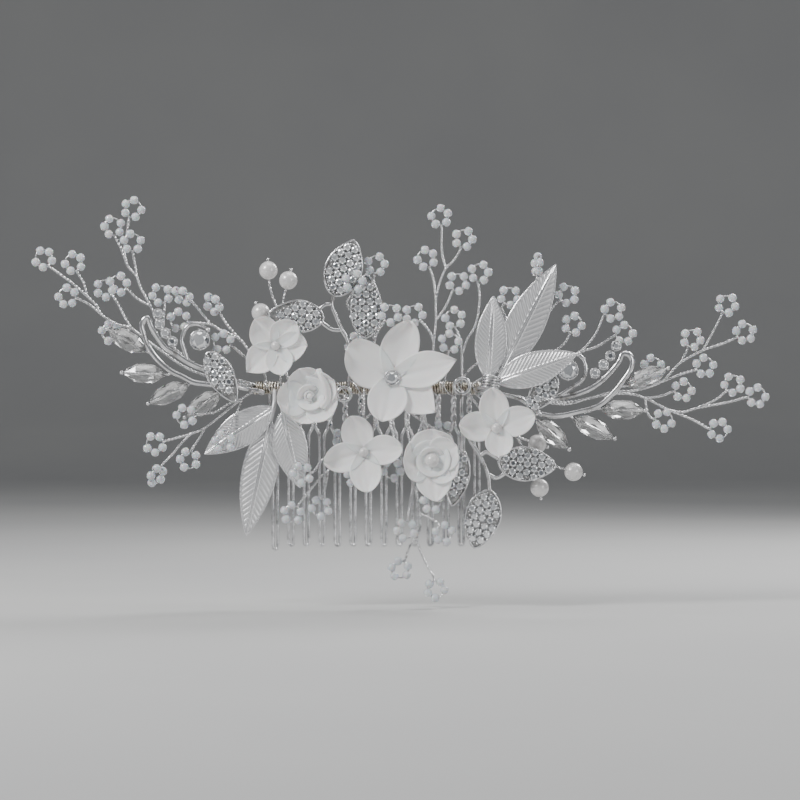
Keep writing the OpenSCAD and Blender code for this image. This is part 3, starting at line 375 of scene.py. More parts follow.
def smooth_path(points, step):
    """A Catmull-Rom curve through the points, sampled about every step"""
    ends = [points[0] * 2 - points[1]] + list(points) + [points[-1] * 2 - points[-2]]
    path = []
    for a, b, c, d in zip(ends, ends[1:], ends[2:], ends[3:]):
        count = max(2, int((c - b).length / step))
        for i in range(count):
            t = i / count
            path.append(0.5 * ((2 * b) + (c - a) * t + (2 * a - 5 * b + 4 * c - d) * t * t
                               + (3 * b - a - 3 * c + d) * t ** 3))
    return path + [points[-1].copy()]


def facing(x, y, z):
    """Local XY stands upright and local Z faces the onlooker; millimetres"""
    return Matrix.Translation(Vector((x, y, z)) * MM) @ Matrix.Rotation(math.pi / 2, 4, "X")


def along(base, tip):
    """Local X runs from base to tip and local Z faces the onlooker"""
    start = place(base, 0)
    run = place(tip, 0) - start
    turn = Matrix.Rotation(-math.atan2(run.z, run.x), 4, "Y")
    rise = Matrix.Rotation(math.asin(run.y / run.length), 4, "Z")
    return Matrix.Translation(start) @ turn @ rise @ Matrix.Rotation(math.pi / 2, 4, "X"), run.length


def aimed(start, direction):
    """Local Z runs along direction"""
    return Matrix.Translation(start) @ direction.to_track_quat("Z", "Y").to_matrix().to_4x4()


class Shape:
    """Gathers closed shells and one value a vertex, then becomes a mesh object"""

    def __init__(self):
        self.verts = []
        self.faces = []
        self.values = []

    def add(self, shell, matrix=None):
        verts, faces = shell[0], shell[1]
        values = shell[2] if len(shell) > 2 else [0.0] * len(verts)
        start = len(self.verts)
        self.verts += [matrix @ v for v in verts] if matrix else verts
        self.faces += [[start + i for i in face] for face in faces]
        self.values += values
        return self

    def object(self, name, material, smooth=True):
        mesh = bpy.data.meshes.new(name)
        mesh.from_pydata([tuple(v) for v in self.verts], [], self.faces)
        shell = bmesh.new()
        shell.from_mesh(mesh)
        bmesh.ops.recalc_face_normals(shell, faces=shell.faces)
        shell.to_mesh(mesh)
        shell.free()
        # The relief value also sets the painted shade and painted highlight in the leaf and clay colours
        mesh.attributes.new("relief", "FLOAT", "POINT").data.foreach_set("value", self.values)
        mesh.polygons.foreach_set("use_smooth", [smooth] * len(mesh.polygons))
        mesh.materials.append(material)
        return linked(name, mesh)


def linked(name, data):
    """A new object in the scene"""
    obj = bpy.data.objects.new(name, data)
    bpy.context.scene.collection.objects.link(obj)
    return obj


def ring_faces(rings, sides, closed):
    last = rings if closed else rings - 1
    return [[i * sides + k, i * sides + (k + 1) % sides,
             ((i + 1) % rings) * sides + (k + 1) % sides, ((i + 1) % rings) * sides + k]
            for i in range(last) for k in range(sides)]


def end_faces(rings, sides):
    """The flat faces that close both ends of a row of rings"""
    return [list(reversed(range(sides))), [(rings - 1) * sides + k for k in range(sides)]]


def tube(path, radius, sides=8, closed=False, section=None):
    """A tube along a path. The section, if given, holds each side's distance as a share of the radius"""
    count = len(path)
    radii = radius if isinstance(radius, list) else [radius] * count
    shares = section or [1] * sides
    verts = []
    side = None
    for i, point in enumerate(path):
        ahead = path[(i + 1) % count] if closed else path[min(i + 1, count - 1)]
        behind = path[i - 1] if closed else path[max(i - 1, 0)]
        run = (ahead - behind).normalized()
        if side is None:
            side = run.cross(Vector((0, -1, 0)))
            side = side if side.length > 0.1 else run.orthogonal()
        side = (side - run * side.dot(run)).normalized()
        up = run.cross(side)
        for k, share in enumerate(shares):
            a = math.tau * k / sides
            verts.append(point + (side * math.cos(a) + up * math.sin(a)) * radii[i] * share)
    faces = ring_faces(count, sides, closed)
    if not closed:
        faces += end_faces(count, sides)
    return verts, faces


def revolve(profile, sides):
    """A closed profile of (radius, height) turned about local Z; it doesn't touch the axis"""
    verts = [Vector((r * math.cos(math.tau * k / sides), r * math.sin(math.tau * k / sides), h))
             for k in range(sides) for r, h in profile]
    return verts, ring_faces(sides, len(profile), True)


def lathe(profile, sides):
    """An open profile of (radius, height) turned about local Z and closed by a flat face at each end"""
    verts = [Vector((r * math.cos(math.tau * k / sides), r * math.sin(math.tau * k / sides), h))
             for r, h in profile for k in range(sides)]
    return verts, ring_faces(len(profile), sides, False) + end_faces(len(profile), sides)


def ball(radius, sides=12, rings=8):
    profile = [(radius * max(0.02, math.sin(math.pi * i / rings)), -radius * math.cos(math.pi * i / rings))
               for i in range(rings + 1)]
    return lathe(profile, sides)


def gem(radius):
    """A faceted round stone: table, stars, kites, girdle and a pointed back. Local Z faces out"""
    def circle(count, r, z, turn=0.0):
        return [Vector((r * math.cos(math.tau * (k + turn) / count),
                        r * math.sin(math.tau * (k + turn) / count), z)) for k in range(count)]
    verts = (circle(8, radius * 0.56, radius * 0.42) + circle(8, radius * 0.8, radius * 0.28, 0.5)
             + circle(16, radius, 0.0) + circle(16, radius, -radius * 0.06) + [Vector((0, 0, -radius * 0.5))])
    faces = [list(range(8))]
    for k in range(8):
        n = (k + 1) % 8
        faces.append([k, 8 + k, n])
        faces.append([8 + k, 16 + 2 * k, 16 + 2 * k + 1])
        faces.append([8 + k, 16 + 2 * k + 1, 16 + (2 * k + 2) % 16])
        faces.append([8 + k, 16 + (2 * k + 2) % 16, 8 + n, n])
    for k in range(16):
        n = (k + 1) % 16
        faces.append([16 + k, 32 + k, 32 + n, 16 + n])
        faces.append([32 + k, 48, 32 + n])
    return verts, faces


def wall_faces(long_steps, cross_steps):
    """Front, back and edge of a sheet whose back vertices follow its front ones"""
    row = cross_steps + 1
    under = row * (long_steps + 1)
    faces = []
    for i in range(long_steps):
        for j in range(cross_steps):
            a = i * row + j
            faces.append([a, a + row, a + row + 1, a + 1])
            faces.append([under + a, under + a + 1, under + a + row + 1, under + a + row])
    edge = ([j for j in range(row)] + [i * row + cross_steps for i in range(1, long_steps + 1)]
            + [long_steps * row + j for j in range(cross_steps - 1, -1, -1)]
            + [i * row for i in range(long_steps - 1, 0, -1)])
    return faces + [[a, b, under + b, under + a] for a, b in zip(edge, edge[1:] + edge[:1])]


def sheet(point, inside, long_steps, cross_steps, value):
    """A closed leaf-like shell. point(u, v) gives its front and inside(u, v, spot) its back, u in
    0..1 and v in -1..1"""
    front, back, values = [], [], []
    for i in range(long_steps + 1):
        for j in range(cross_steps + 1):
            u, v = i / long_steps, 2 * j / cross_steps - 1
            spot = point(u, v)
            front.append(spot)
            back.append(inside(u, v, spot))
            values.append(value(u, v))
    return front + back, wall_faces(long_steps, cross_steps), values * 2


# ---------------------------------------------------------------- geometry node trees

def new_tree(name, sockets):
    tree = bpy.data.node_groups.new(name, "GeometryNodeTree")
    tree.interface.new_socket("Geometry", in_out="INPUT", socket_type="NodeSocketGeometry")
    for label, kind, default in sockets:
        socket = tree.interface.new_socket(label, in_out="INPUT", socket_type=kind)
        if default is not None:
            socket.default_value = default
    tree.interface.new_socket("Geometry", in_out="OUTPUT", socket_type="NodeSocketGeometry")
    return tree


def finish_tree(tree, geometry, source):
    """Every tree ends in Realize Instances and Set Material"""
    nodes, links = tree.nodes, tree.links
    realize = nodes.new("GeometryNodeRealizeInstances")
    paint = nodes.new("GeometryNodeSetMaterial")
    output = nodes.new("NodeGroupOutput")
    links.new(geometry, realize.inputs["Geometry"])
    links.new(realize.outputs["Geometry"], paint.inputs["Geometry"])
    links.new(source.outputs["Material"], paint.inputs["Material"])
    links.new(paint.outputs["Geometry"], output.inputs[0])


def math_node(tree, operation, first, second=None):
    node = tree.nodes.new("ShaderNodeMath")
    node.operation = operation
    for socket, value in zip(node.inputs, (first, second)):
        if hasattr(value, "links"):
            tree.links.new(value, socket)
        elif value is not None:
            socket.default_value = value
    return node.outputs[0]


def vector_node(tree, operation, first, second, scale=None):
    node = tree.nodes.new("ShaderNodeVectorMath")
    node.operation = operation
    tree.links.new(first, node.inputs[0])
    if second is not None:
        tree.links.new(second, node.inputs[1])
    if scale is not None:
        tree.links.new(scale, node.inputs["Scale"])
    return node.outputs[0]


def strands_tree():
    """Lays strands round a path, like the wires of a twisted stem or the coil of a binding"""
    tree = new_tree("Laid strands", [
        ("Strands", "NodeSocketInt", 2), ("Strand Radius", "NodeSocketFloat", 0.17 * MM),
        ("Lay Radius", "NodeSocketFloat", 0.16 * MM), ("Pitch", "NodeSocketFloat", 2 * MM),
        ("Step", "NodeSocketFloat", 0.3 * MM), ("Sides", "NodeSocketInt", 6),
        ("Material", "NodeSocketMaterial", None)])
    nodes, links = tree.nodes, tree.links
    source = nodes.new("NodeGroupInput")
    to_curve = nodes.new("GeometryNodeMeshToCurve")
    resample = nodes.new("GeometryNodeResampleCurve")
    resample.mode = "LENGTH"
    copies = nodes.new("GeometryNodeDuplicateElements")
    copies.domain = "SPLINE"
    run = nodes.new("GeometryNodeInputTangent")
    side = nodes.new("GeometryNodeInputNormal")
    spot = nodes.new("GeometryNodeSplineParameter")
    links.new(source.outputs["Geometry"], to_curve.inputs["Mesh"])
    links.new(to_curve.outputs["Curve"], resample.inputs["Curve"])
    links.new(source.outputs["Step"], resample.inputs["Length"])
    links.new(resample.outputs["Curve"], copies.inputs["Geometry"])
    links.new(source.outputs["Strands"], copies.inputs["Amount"])

    turns = math_node(tree, "DIVIDE", spot.outputs["Length"], source.outputs["Pitch"])
    phase = math_node(tree, "DIVIDE", copies.outputs["Duplicate Index"], source.outputs["Strands"])
    angle = math_node(tree, "MULTIPLY", math_node(tree, "ADD", turns, phase), math.tau)
    across = vector_node(tree, "CROSS_PRODUCT", run.outputs[0], side.outputs[0])
    radius = source.outputs["Lay Radius"]
    along_side = vector_node(tree, "SCALE", side.outputs[0], None,
                             math_node(tree, "MULTIPLY", math_node(tree, "COSINE", angle), radius))
    along_cross = vector_node(tree, "SCALE", across, None,
                              math_node(tree, "MULTIPLY", math_node(tree, "SINE", angle), radius))
    shift = nodes.new("GeometryNodeSetPosition")
    links.new(copies.outputs["Geometry"], shift.inputs["Geometry"])
    links.new(vector_node(tree, "ADD", along_side, along_cross), shift.inputs["Offset"])

    circle = nodes.new("GeometryNodeCurvePrimitiveCircle")
    links.new(source.outputs["Sides"], circle.inputs["Resolution"])
    links.new(source.outputs["Strand Radius"], circle.inputs["Radius"])
    wire = nodes.new("GeometryNodeCurveToMesh")
    wire.inputs["Fill Caps"].default_value = True
    links.new(shift.outputs["Geometry"], wire.inputs["Curve"])
    links.new(circle.outputs["Curve"], wire.inputs["Profile Curve"])
    round_off = nodes.new("GeometryNodeSetShadeSmooth")
    links.new(wire.outputs["Mesh"], round_off.inputs["Geometry"])
    finish_tree(tree, round_off.outputs["Geometry"], source)
    return tree


def scatter_tree():
    """Puts a copy of one piece on each point, turned and scaled by the point's own values"""
    tree = new_tree("Set pieces", [
        ("Piece", "NodeSocketObject", None), ("Seed", "NodeSocketInt", 1),
        ("Material", "NodeSocketMaterial", None)])
    nodes, links = tree.nodes, tree.links
    source = nodes.new("NodeGroupInput")
    piece = nodes.new("GeometryNodeObjectInfo")
    links.new(source.outputs["Piece"], piece.inputs["Object"])
    values = {}
    for label, kind in (("turn", "FLOAT_VECTOR"), ("size", "FLOAT")):
        values[label] = nodes.new("GeometryNodeInputNamedAttribute")
        values[label].data_type = kind
        values[label].inputs["Name"].default_value = label
    turn = nodes.new("FunctionNodeEulerToRotation")
    links.new(values["turn"].outputs["Attribute"], turn.inputs[0])
    copies = nodes.new("GeometryNodeInstanceOnPoints")
    links.new(source.outputs["Geometry"], copies.inputs["Points"])
    links.new(piece.outputs["Geometry"], copies.inputs["Instance"])
    links.new(turn.outputs[0], copies.inputs["Rotation"])
    links.new(values["size"].outputs["Attribute"], copies.inputs["Scale"])

    # A random value on each face, which the stone materials paint as lighter and darker facets: painted
    # highlight and painted shade
    chance = nodes.new("FunctionNodeRandomValue")
    chance.data_type = "FLOAT"
    links.new(source.outputs["Seed"], chance.inputs["Seed"])
    painted_facet_light = nodes.new("GeometryNodeStoreNamedAttribute")
    painted_facet_light.data_type = "FLOAT"
    painted_facet_light.domain = "FACE"
    painted_facet_light.inputs["Name"].default_value = "painted_facet_light"
    realize = nodes.new("GeometryNodeRealizeInstances")
    links.new(copies.outputs["Instances"], realize.inputs["Geometry"])
    links.new(realize.outputs["Geometry"], painted_facet_light.inputs["Geometry"])
    links.new(next(s for s in chance.outputs if s.type == "VALUE" and s.enabled), painted_facet_light.inputs["Value"])
    finish_tree(tree, painted_facet_light.outputs["Geometry"], source)
    return tree


def built_tree(name, build):
    return bpy.data.node_groups.get(name) or build()


def apply_tree(host, tree, values):
    """Runs a tree on a host object and leaves its result as a plain mesh at the origin"""
    modifier = host.modifiers.new(tree.name, "NODES")
    modifier.node_group = tree
    for item in tree.interface.items_tree:
        if item.item_type == "SOCKET" and item.in_out == "INPUT" and item.name in values:
            modifier[item.identifier] = values[item.name]
    graph = bpy.context.evaluated_depsgraph_get()
    graph.update()
    mesh = bpy.data.meshes.new_from_object(host.evaluated_get(graph), preserve_all_data_layers=True,
                                           depsgraph=graph)
    host.modifiers.remove(modifier)
    old = host.data
    host.data = mesh
    bpy.data.meshes.remove(old)
    if not mesh.polygons:
        raise RuntimeError("the tree " + tree.name + " made nothing for " + host.name)
    return host


def lay_strands(name, paths, material, strands, strand_radius, lay_radius, pitch, step, sides=6):
    """Strands twisted or coiled round each of the paths, as one object"""
    verts, edges = [], []
    for path in paths:
        edges += [(len(verts) + i, len(verts) + i + 1) for i in range(len(path) - 1)]
        verts += [tuple(p) for p in path]
    mesh = bpy.data.meshes.new(name)
    mesh.from_pydata(verts, edges, [])
    return apply_tree(linked(name, mesh), built_tree("Laid strands", strands_tree), {
        "Strands": strands, "Strand Radius": strand_radius, "Lay Radius": lay_radius, "Pitch": pitch,
        "Step": step, "Sides": sides, "Material": material})


def set_pieces(name, matrices, shell, material, seed, smooth=False):
    """Copies of one shell at each of the matrices, as one object"""
    piece = Shape().add(shell).object(name + "_piece", material, smooth)
    mesh = bpy.data.meshes.new(name)
    mesh.from_pydata([tuple(m.translation) for m in matrices], [], [])
    mesh.attributes.new("turn", "FLOAT_VECTOR", "POINT")
    mesh.attributes.new("size", "FLOAT", "POINT")
    mesh.attributes["turn"].data.foreach_set("vector", [a for m in matrices for a in m.to_euler()])
    mesh.attributes["size"].data.foreach_set("value", [m.to_scale().x for m in matrices])
    host = linked(name, mesh)
    apply_tree(host, built_tree("Set pieces", scatter_tree), {
        "Piece": piece, "Seed": seed, "Material": material})
    bpy.data.objects.remove(piece)
    return host


def joined(name, parts):
    """One object out of several that share a body"""
    bpy.ops.object.select_all(action="DESELECT")
    for part in parts:
        part.select_set(True)
    bpy.context.view_layer.objects.active = parts[0]
    bpy.ops.object.join()
    parts[0].name = name
    parts[0].data.name = name
    return parts[0]


def hand_over(obj, body, slot, *nodes):
    """Ties a finished piece to its body and hides the frame nodes that it stands for; slot, its finish, is
    not used
    """
    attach(obj, body)
    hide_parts(*nodes)


# ---------------------------------------------------------------- materials

def shader_socket(tree, label, kind, way, default=None):
    socket = tree.interface.new_socket(label, in_out=way, socket_type=kind)
    if default is not None:
        socket.default_value = default


def surface_marks_group():
    """Patches and fine marks over a surface: a mask from 0 to 1, and a height for bump"""
    tree = bpy.data.node_groups.new("Surface marks", "ShaderNodeTree")
    shader_socket(tree, "Patch Scale", "NodeSocketFloat", "INPUT", 300.0)
    shader_socket(tree, "Mark Scale", "NodeSocketFloat", "INPUT", 3000.0)
    shader_socket(tree, "Patches", "NodeSocketFloat", "OUTPUT")
    shader_socket(tree, "Marks", "NodeSocketFloat", "OUTPUT")
    nodes, links = tree.nodes, tree.links
    source = nodes.new("NodeGroupInput")
    output = nodes.new("NodeGroupOutput")
    coords = nodes.new("ShaderNodeTexCoord")
    for scale, result, detail in (("Patch Scale", "Patches", 3.0), ("Mark Scale", "Marks", 5.0)):
        noise = nodes.new("ShaderNodeTexNoise")
        noise.inputs["Detail"].default_value = detail
        links.new(coords.outputs["Object"], noise.inputs["Vector"])
        links.new(source.outputs[scale], noise.inputs["Scale"])
        links.new(noise.outputs["Fac"], output.inputs[result])
    return tree


def new_material(name, patch_scale, mark_scale, values):
    """A material with its surface marks; values are set on the shader's own sockets"""
    material = bpy.data.materials.new(name)
    material.use_nodes = True
    tree = material.node_tree
    shader = tree.nodes["Principled BSDF"]
    for label, value in values.items():
        shader.inputs[label].default_value = value
    marks = tree.nodes.new("ShaderNodeGroup")
    marks.node_tree = bpy.data.node_groups.get("Surface marks") or surface_marks_group()
    marks.inputs["Patch Scale"].default_value = patch_scale
    marks.inputs["Mark Scale"].default_value = mark_scale
    return material, tree, shader, marks.outputs["Patches"], marks.outputs["Marks"]


def ramp(tree, factor, stops):
    node = tree.nodes.new("ShaderNodeValToRGB")
    node.color_ramp.elements[0].position = stops[0][0]
    node.color_ramp.elements[1].position = stops[-1][0]
    for position, _ in stops[1:-1]:
        node.color_ramp.elements.new(position)
    for element, (_, color) in zip(node.color_ramp.elements, stops):
        element.color = (*color, 1)
    tree.links.new(factor, node.inputs["Fac"])
    return node.outputs["Color"]


def to_range(tree, value, low, high, start=0.3, end=0.7):
    """Spreads a mask between low and high; noise masks lie mostly between 0.3 and 0.7"""
    node = tree.nodes.new("ShaderNodeMapRange")
    node.inputs["From Min"].default_value = start
    node.inputs["From Max"].default_value = end
    node.inputs["To Min"].default_value = low
    node.inputs["To Max"].default_value = high
    tree.links.new(value, node.inputs["Value"])
    return node.outputs["Result"]


def bump(tree, shader, height, strength, distance):
    node = tree.nodes.new("ShaderNodeBump")
    node.inputs["Strength"].default_value = strength
    node.inputs["Distance"].default_value = distance
    tree.links.new(height, node.inputs["Height"])
    tree.links.new(node.outputs["Normal"], shader.inputs["Normal"])


def attribute(tree, name):
    node = tree.nodes.new("ShaderNodeAttribute")
    node.attribute_name = name
    return node.outputs["Fac"]


def tint(color, share):
    return tuple(min(1.0, c * share) for c in color)


def metal(name, scales, stops, gloss, relief):
    """Metal coloured in patches. gloss: the range of its roughness, and whether that follows the
    patches or the fine marks; relief: strength and distance of its bump"""
    material, tree, shader, patches, marks = new_material(name, *scales, {"Metallic": 1})
    low, high, by_patches = gloss
    tree.links.new(ramp(tree, patches, stops), shader.inputs["Base Color"])
    tree.links.new(to_range(tree, patches if by_patches else marks, low, high), shader.inputs["Roughness"])
    bump(tree, shader, marks, *relief)
    return material


def wire_silver(settings):
    """Bright plated wire with slight tarnish"""
    silver = settings.silver_color
    return metal("plated_wire", (700, 6000),
                 [(0.3, tint(silver, 0.55)), (0.5, tint(silver, 0.92)), (0.7, tint(silver, 1.08))],
                 (0.16, 0.34, False), (0.15, 0.05 * MM))


def cast_silver(settings):
    """Polished castings, darker in patches where the plating has aged"""
    silver = settings.silver_color
    return metal("cast_silver", (420, 3500),
                 [(0.28, (0.30, 0.29, 0.28)), (0.45, tint(silver, 0.85)), (0.7, tint(silver, 1.08))],
                 (0.3, 0.14, True), (0.2, 0.06 * MM))


def dark_silver(settings):
    """Oxidised metal at the bottom of the stone-set plates"""
    return metal("dark_silver", (900, 5000), [(0.3, (0.26, 0.26, 0.26)), (0.75, (0.72, 0.71, 0.70))],
                 (0.3, 0.5, False), (0.3, 0.08 * MM))


def antique_wire(settings):
    """Dark golden binding wire, rubbed bright here and there"""
    return metal("antique_wire", (500, 5000),
                 [(0.3, (0.18, 0.15, 0.11)), (0.48, (0.55, 0.50, 0.42)), (0.7, (0.86, 0.84, 0.80))],
                 (0.22, 0.42, False), (0.2, 0.05 * MM))


def leaf_silver(settings):
    """Frosted (rougher) in the hollows and glossier on the rim and the veins; its colour is also painted
    darker in the hollows as shade and lighter on the rim and the veins as highlight
    """
    silver = settings.silver_color
    material, tree, shader, _, marks = new_material("leaf_silver", 350, 9000, {"Metallic": 1})
    relief = attribute(tree, "relief")
    # Painted shade in the hollows and painted highlight on the raised rim and veins, following the leaf's
    # relief value
    color = ramp(tree, relief, [
        (0.0, tint(silver, 0.8)), (0.3, tint(silver, 0.98)), (1.0, tint(silver, 1.15))])
    tree.links.new(color, shader.inputs["Base Color"])
    tree.links.new(to_range(tree, relief, 0.5, 0.18, 0.0, 1.0), shader.inputs["Roughness"])
    bump(tree, shader, marks, 0.35, 0.05 * MM)
    return material


def bead_glass(settings):
    """Milky translucent glass of the seed beads"""
    material, tree, shader, patches, marks = new_material("bead_glass", 260, 2500, {
        "Transmission Weight": 0.35, "IOR": 1.5, "Subsurface Weight": 0.2, "Subsurface Scale": 0.6 * MM})
    color = ramp(tree, patches, [
        (0.3, tint(settings.bead_color, 0.9)), (0.5, settings.bead_color[:]), (0.7, (0.96, 0.96, 0.95))])
    tree.links.new(color, shader.inputs["Base Color"])
    tree.links.new(to_range(tree, marks, 0.06, 0.2), shader.inputs["Roughness"])
    return material


def pearl_lustre(settings):
    """Layered pearl coating with a soft cloudy body"""
    material, tree, shader, patches, marks = new_material("pearl_lustre", 420, 2500, {
        "Metallic": 0.15, "Coat Weight": 0.6, "Coat Roughness": 0.12, "Sheen Weight": 0.15})
    color = ramp(tree, patches, [
        (0.3, (0.62, 0.60, 0.60)), (0.5, (0.76, 0.75, 0.74)), (0.7, (0.84, 0.80, 0.78))])
    tree.links.new(color, shader.inputs["Base Color"])
    tree.links.new(to_range(tree, marks, 0.24, 0.36), shader.inputs["Roughness"])
    return material


def crystal_glass(settings):
    """Clear cut glass whose facets gather more or less light; that light is painted in, each face's colour
    set lighter or darker at random as painted highlight and painted shade
    """
    material, tree, shader, _, marks = new_material("crystal_glass", 200, 2000, {
        "Transmission Weight": 0.92, "IOR": 1.7, "Coat Weight": 0.8, "Coat Roughness": 0.02})
    # Painted highlight and painted shade: each face of the glass lighter or darker at random
    color = ramp(tree, attribute(tree, "painted_facet_light"), [
        (0.0, (0.50, 0.49, 0.48)), (0.3, (0.9, 0.9, 0.9)), (1.0, (1.0, 1.0, 1.0))])
    tree.links.new(color, shader.inputs["Base Color"])
    tree.links.new(to_range(tree, marks, 0.0, 0.04), shader.inputs["Roughness"])
    return material


def foiled_stone(settings):
    """Cut stones on a mirror foil, with painted reflections: each face's colour is set lighter or darker than
    its neighbours at random, from painted shade to painted highlight
    """
    material, tree, shader, patches, _ = new_material("foiled_stone", 500, 3000, {
        "Metallic": 0.75, "Coat Weight": 1, "Coat Roughness": 0.02})
    # Painted reflections on the stones: each face from painted shade to painted highlight at random
    color = ramp(tree, attribute(tree, "painted_facet_light"), [
        (0.0, (0.14, 0.15, 0.17)), (0.16, (0.62, 0.64, 0.67)), (0.4, (0.92, 0.94, 0.96)),
        (1.0, (1.0, 1.0, 1.0))])
    tree.links.new(color, shader.inputs["Base Color"])
    tree.links.new(to_range(tree, patches, 0.03, 0.1), shader.inputs["Roughness"])
    return material


def flower_clay(settings):
    """Matte air-dried clay with painted shade in its creases: greyer at the petals' roots, along their middle
    creases, in their fold lines and at the foot of the rolled inner petals
    """
    clay = settings.clay_color
    material, tree, shader, patches, marks = new_material("flower_clay", 160, 1400, {
        "Subsurface Weight": 0.12, "Subsurface Scale": 0.8 * MM})
    # Painted shade: greyer where the relief value marks a fold, and a little lighter on the flat parts
    painted_fold_shade = ramp(tree, attribute(tree, "relief"), [
        (0.0, tint(clay, 1.04)), (0.5, clay[:]), (1.0, tint(clay, 0.62))])
    clouds = ramp(tree, patches, [(0.3, (0.93, 0.93, 0.94)), (0.65, (1.0, 1.0, 1.0))])
    mix = tree.nodes.new("ShaderNodeMix")
    mix.data_type = "RGBA"
    mix.blend_type = "MULTIPLY"
    mix.inputs["Factor"].default_value = 1
    tree.links.new(painted_fold_shade, next(s for s in mix.inputs if s.name == "A" and s.type == "RGBA"))
    tree.links.new(clouds, next(s for s in mix.inputs if s.name == "B" and s.type == "RGBA"))
    tree.links.new(next(s for s in mix.outputs if s.type == "RGBA"), shader.inputs["Base Color"])
    tree.links.new(to_range(tree, marks, 0.55, 0.75), shader.inputs["Roughness"])
    bump(tree, shader, marks, 0.3, 0.08 * MM)
    return material


def floor_paint(settings):
    """Pale matte studio floor"""
    material, tree, shader, patches, _ = new_material("studio_floor", 6, 80, {"Roughness": 0.8})
    color = ramp(tree, patches, [(0.3, (0.50, 0.50, 0.50)), (0.7, (0.54, 0.54, 0.53))])
    tree.links.new(color, shader.inputs["Base Color"])
    return material


MADE = {}


def finish_of(build):
    """The material that a builder makes, made once"""
    if build not in MADE:
        MADE[build] = build(bpy.context.scene.hair_comb)
    return MADE[build]


# ---------------------------------------------------------------- pieces

class HAIRCOMB_OT_teeth(bpy.types.Operator):
    """Bend the teeth and twist each leg with its neighbour under the spine"""
    bl_idname = "hair_comb.teeth"
    bl_label = "Teeth"

    def execute(self, context):
        settings = context.scene.hair_comb
        radius, gap = settings.tooth_radius, settings.tooth_gap
        chance = random.Random(4)
        teeth = Shape()
        for i in range(TOOTH_COUNT):
            x = ((i - (TOOTH_COUNT - 1) / 2) * TOOTH_PITCH + 0.5) * MM
            drop = -1 * MM if i == 0 else 0
            low = -TOOTH_LENGTH * MM + drop + gap + radius
            left = self.leg(x, -1, i > 0, gap, radius, low, chance)
            right = self.leg(x, 1, i < TOOTH_COUNT - 1, gap, radius, low, chance)
            bend = [Vector((x - gap * math.cos(math.pi * k / 8), 0, low - gap * math.sin(math.pi * k / 8)))
                    for k in range(1, 8)]
            teeth.add(tube(left + bend + list(reversed(right)), radius, 10))
        hand_over(teeth.object("teeth", finish_of(wire_silver)), COMB, "silver_wire", "comb_teeth")
        return {"FINISHED"}

    def leg(self, x, side, paired, gap, radius, low, chance):
        """From the spine down to the bend"""
        points = []
        centre = x + side * TOOTH_PITCH / 2 * MM
        reach = radius * 0.98
        phase = 0 if side < 0 else math.pi
        top, twist, split = 0.6 * MM, TWIST_Z * MM, SPLIT_Z * MM
        steps = 30
        for k in range(steps + 1):
            z = top + (twist - top) * k / steps
            turn = phase + math.tau * (z - twist) / (TOOTH_TWIST_PITCH * MM)
            if paired:
                points.append(Vector((centre + reach * math.cos(turn), reach * math.sin(turn), z)))
            elif k % 3 == 0:
                points.append(Vector((centre - side * reach, 0, z)))
        inner = x + side * gap
        start = centre - side * reach
        for k in range(1, 6):
            share = k / 5
            ease = share * share * (3 - 2 * share)
            points.append(Vector((start + (inner - start) * ease, 0, twist + (split - twist) * share)))
        sway = chance.uniform(-TOOTH_SWAY, TOOTH_SWAY) * MM
        for k in range(1, 9):
            share = k / 8
            z = split + (low - split) * share
            points.append(Vector((inner, sway * math.sin(math.pi * share), z)))
        return points


class HAIRCOMB_OT_spine(bpy.types.Operator):
    """Wind the binding round the spine's bundle of wires"""
    bl_idname = "hair_comb.spine"
    bl_label = "Spine and binding"

    def execute(self, context):
        settings = context.scene.hair_comb
        core = Shape()
        for k in range(7):
            a = math.tau * k / 6
            out = 0.0 if k == 6 else CORE_REACH
            y, z = out * math.cos(a), out * math.sin(a)
            core.add(tube([Vector((x, y, z)) * MM for x in SPINE_X], CORE_WIRE * MM, 8))
        hand_over(core.object("spine_core", finish_of(antique_wire)), COMB, "silver_wire", "comb_spine")

        start, end = SPINE_X[0] + 0.8, SPINE_X[1] - 0.6
        count = 60
        wave = [Vector((start + (end - start) * k / count, 0.10 * math.sin(k * 0.9),
                        0.12 * math.sin(k * 0.53))) * MM for k in range(count + 1)]
        coil = lay_strands("binding_coil", [wave], finish_of(antique_wire), 1, COIL_WIRE * MM,
                           COIL_REACH * MM, settings.binding_pitch, 0.05 * MM, 6)
        over = lay_strands("over_wire", [wave], finish_of(wire_silver), 2, OVER_WIRE * MM,
                           OVER_REACH * MM, OVER_PITCH * MM, 0.4 * MM, 6)
        hand_over(joined("binding", [coil, over]), COMB, "antique_wire", "binding_wire")
        return {"FINISHED"}


def loop_matrix(spray, loop):
    """Local X points at the stem and local Z is the ring's axle"""
    centre = spray_place(spray, loop[0])
    out = spray_place(spray, loop[3][0]) - centre
    turn = Matrix.Rotation(-math.atan2(out.z, out.x), 4, "Y")
    tilt = Matrix.Rotation(math.radians(loop[2] + 90), 4, "X")
    return Matrix.Translation(centre) @ turn @ tilt


def bead_shell(radius):
    """A rounded seed bead with its hole along local Y"""
    profile = [(radius * out, radius * high) for out, high in (
        (0.30, -0.80), (0.58, -0.88), (0.88, -0.55), (1, 0), (0.88, 0.55), (0.58, 0.88), (0.30, 0.80))]
    verts, faces = revolve(profile, 12)
    return [Matrix.Rotation(math.pi / 2, 4, "X") @ v for v in verts], faces


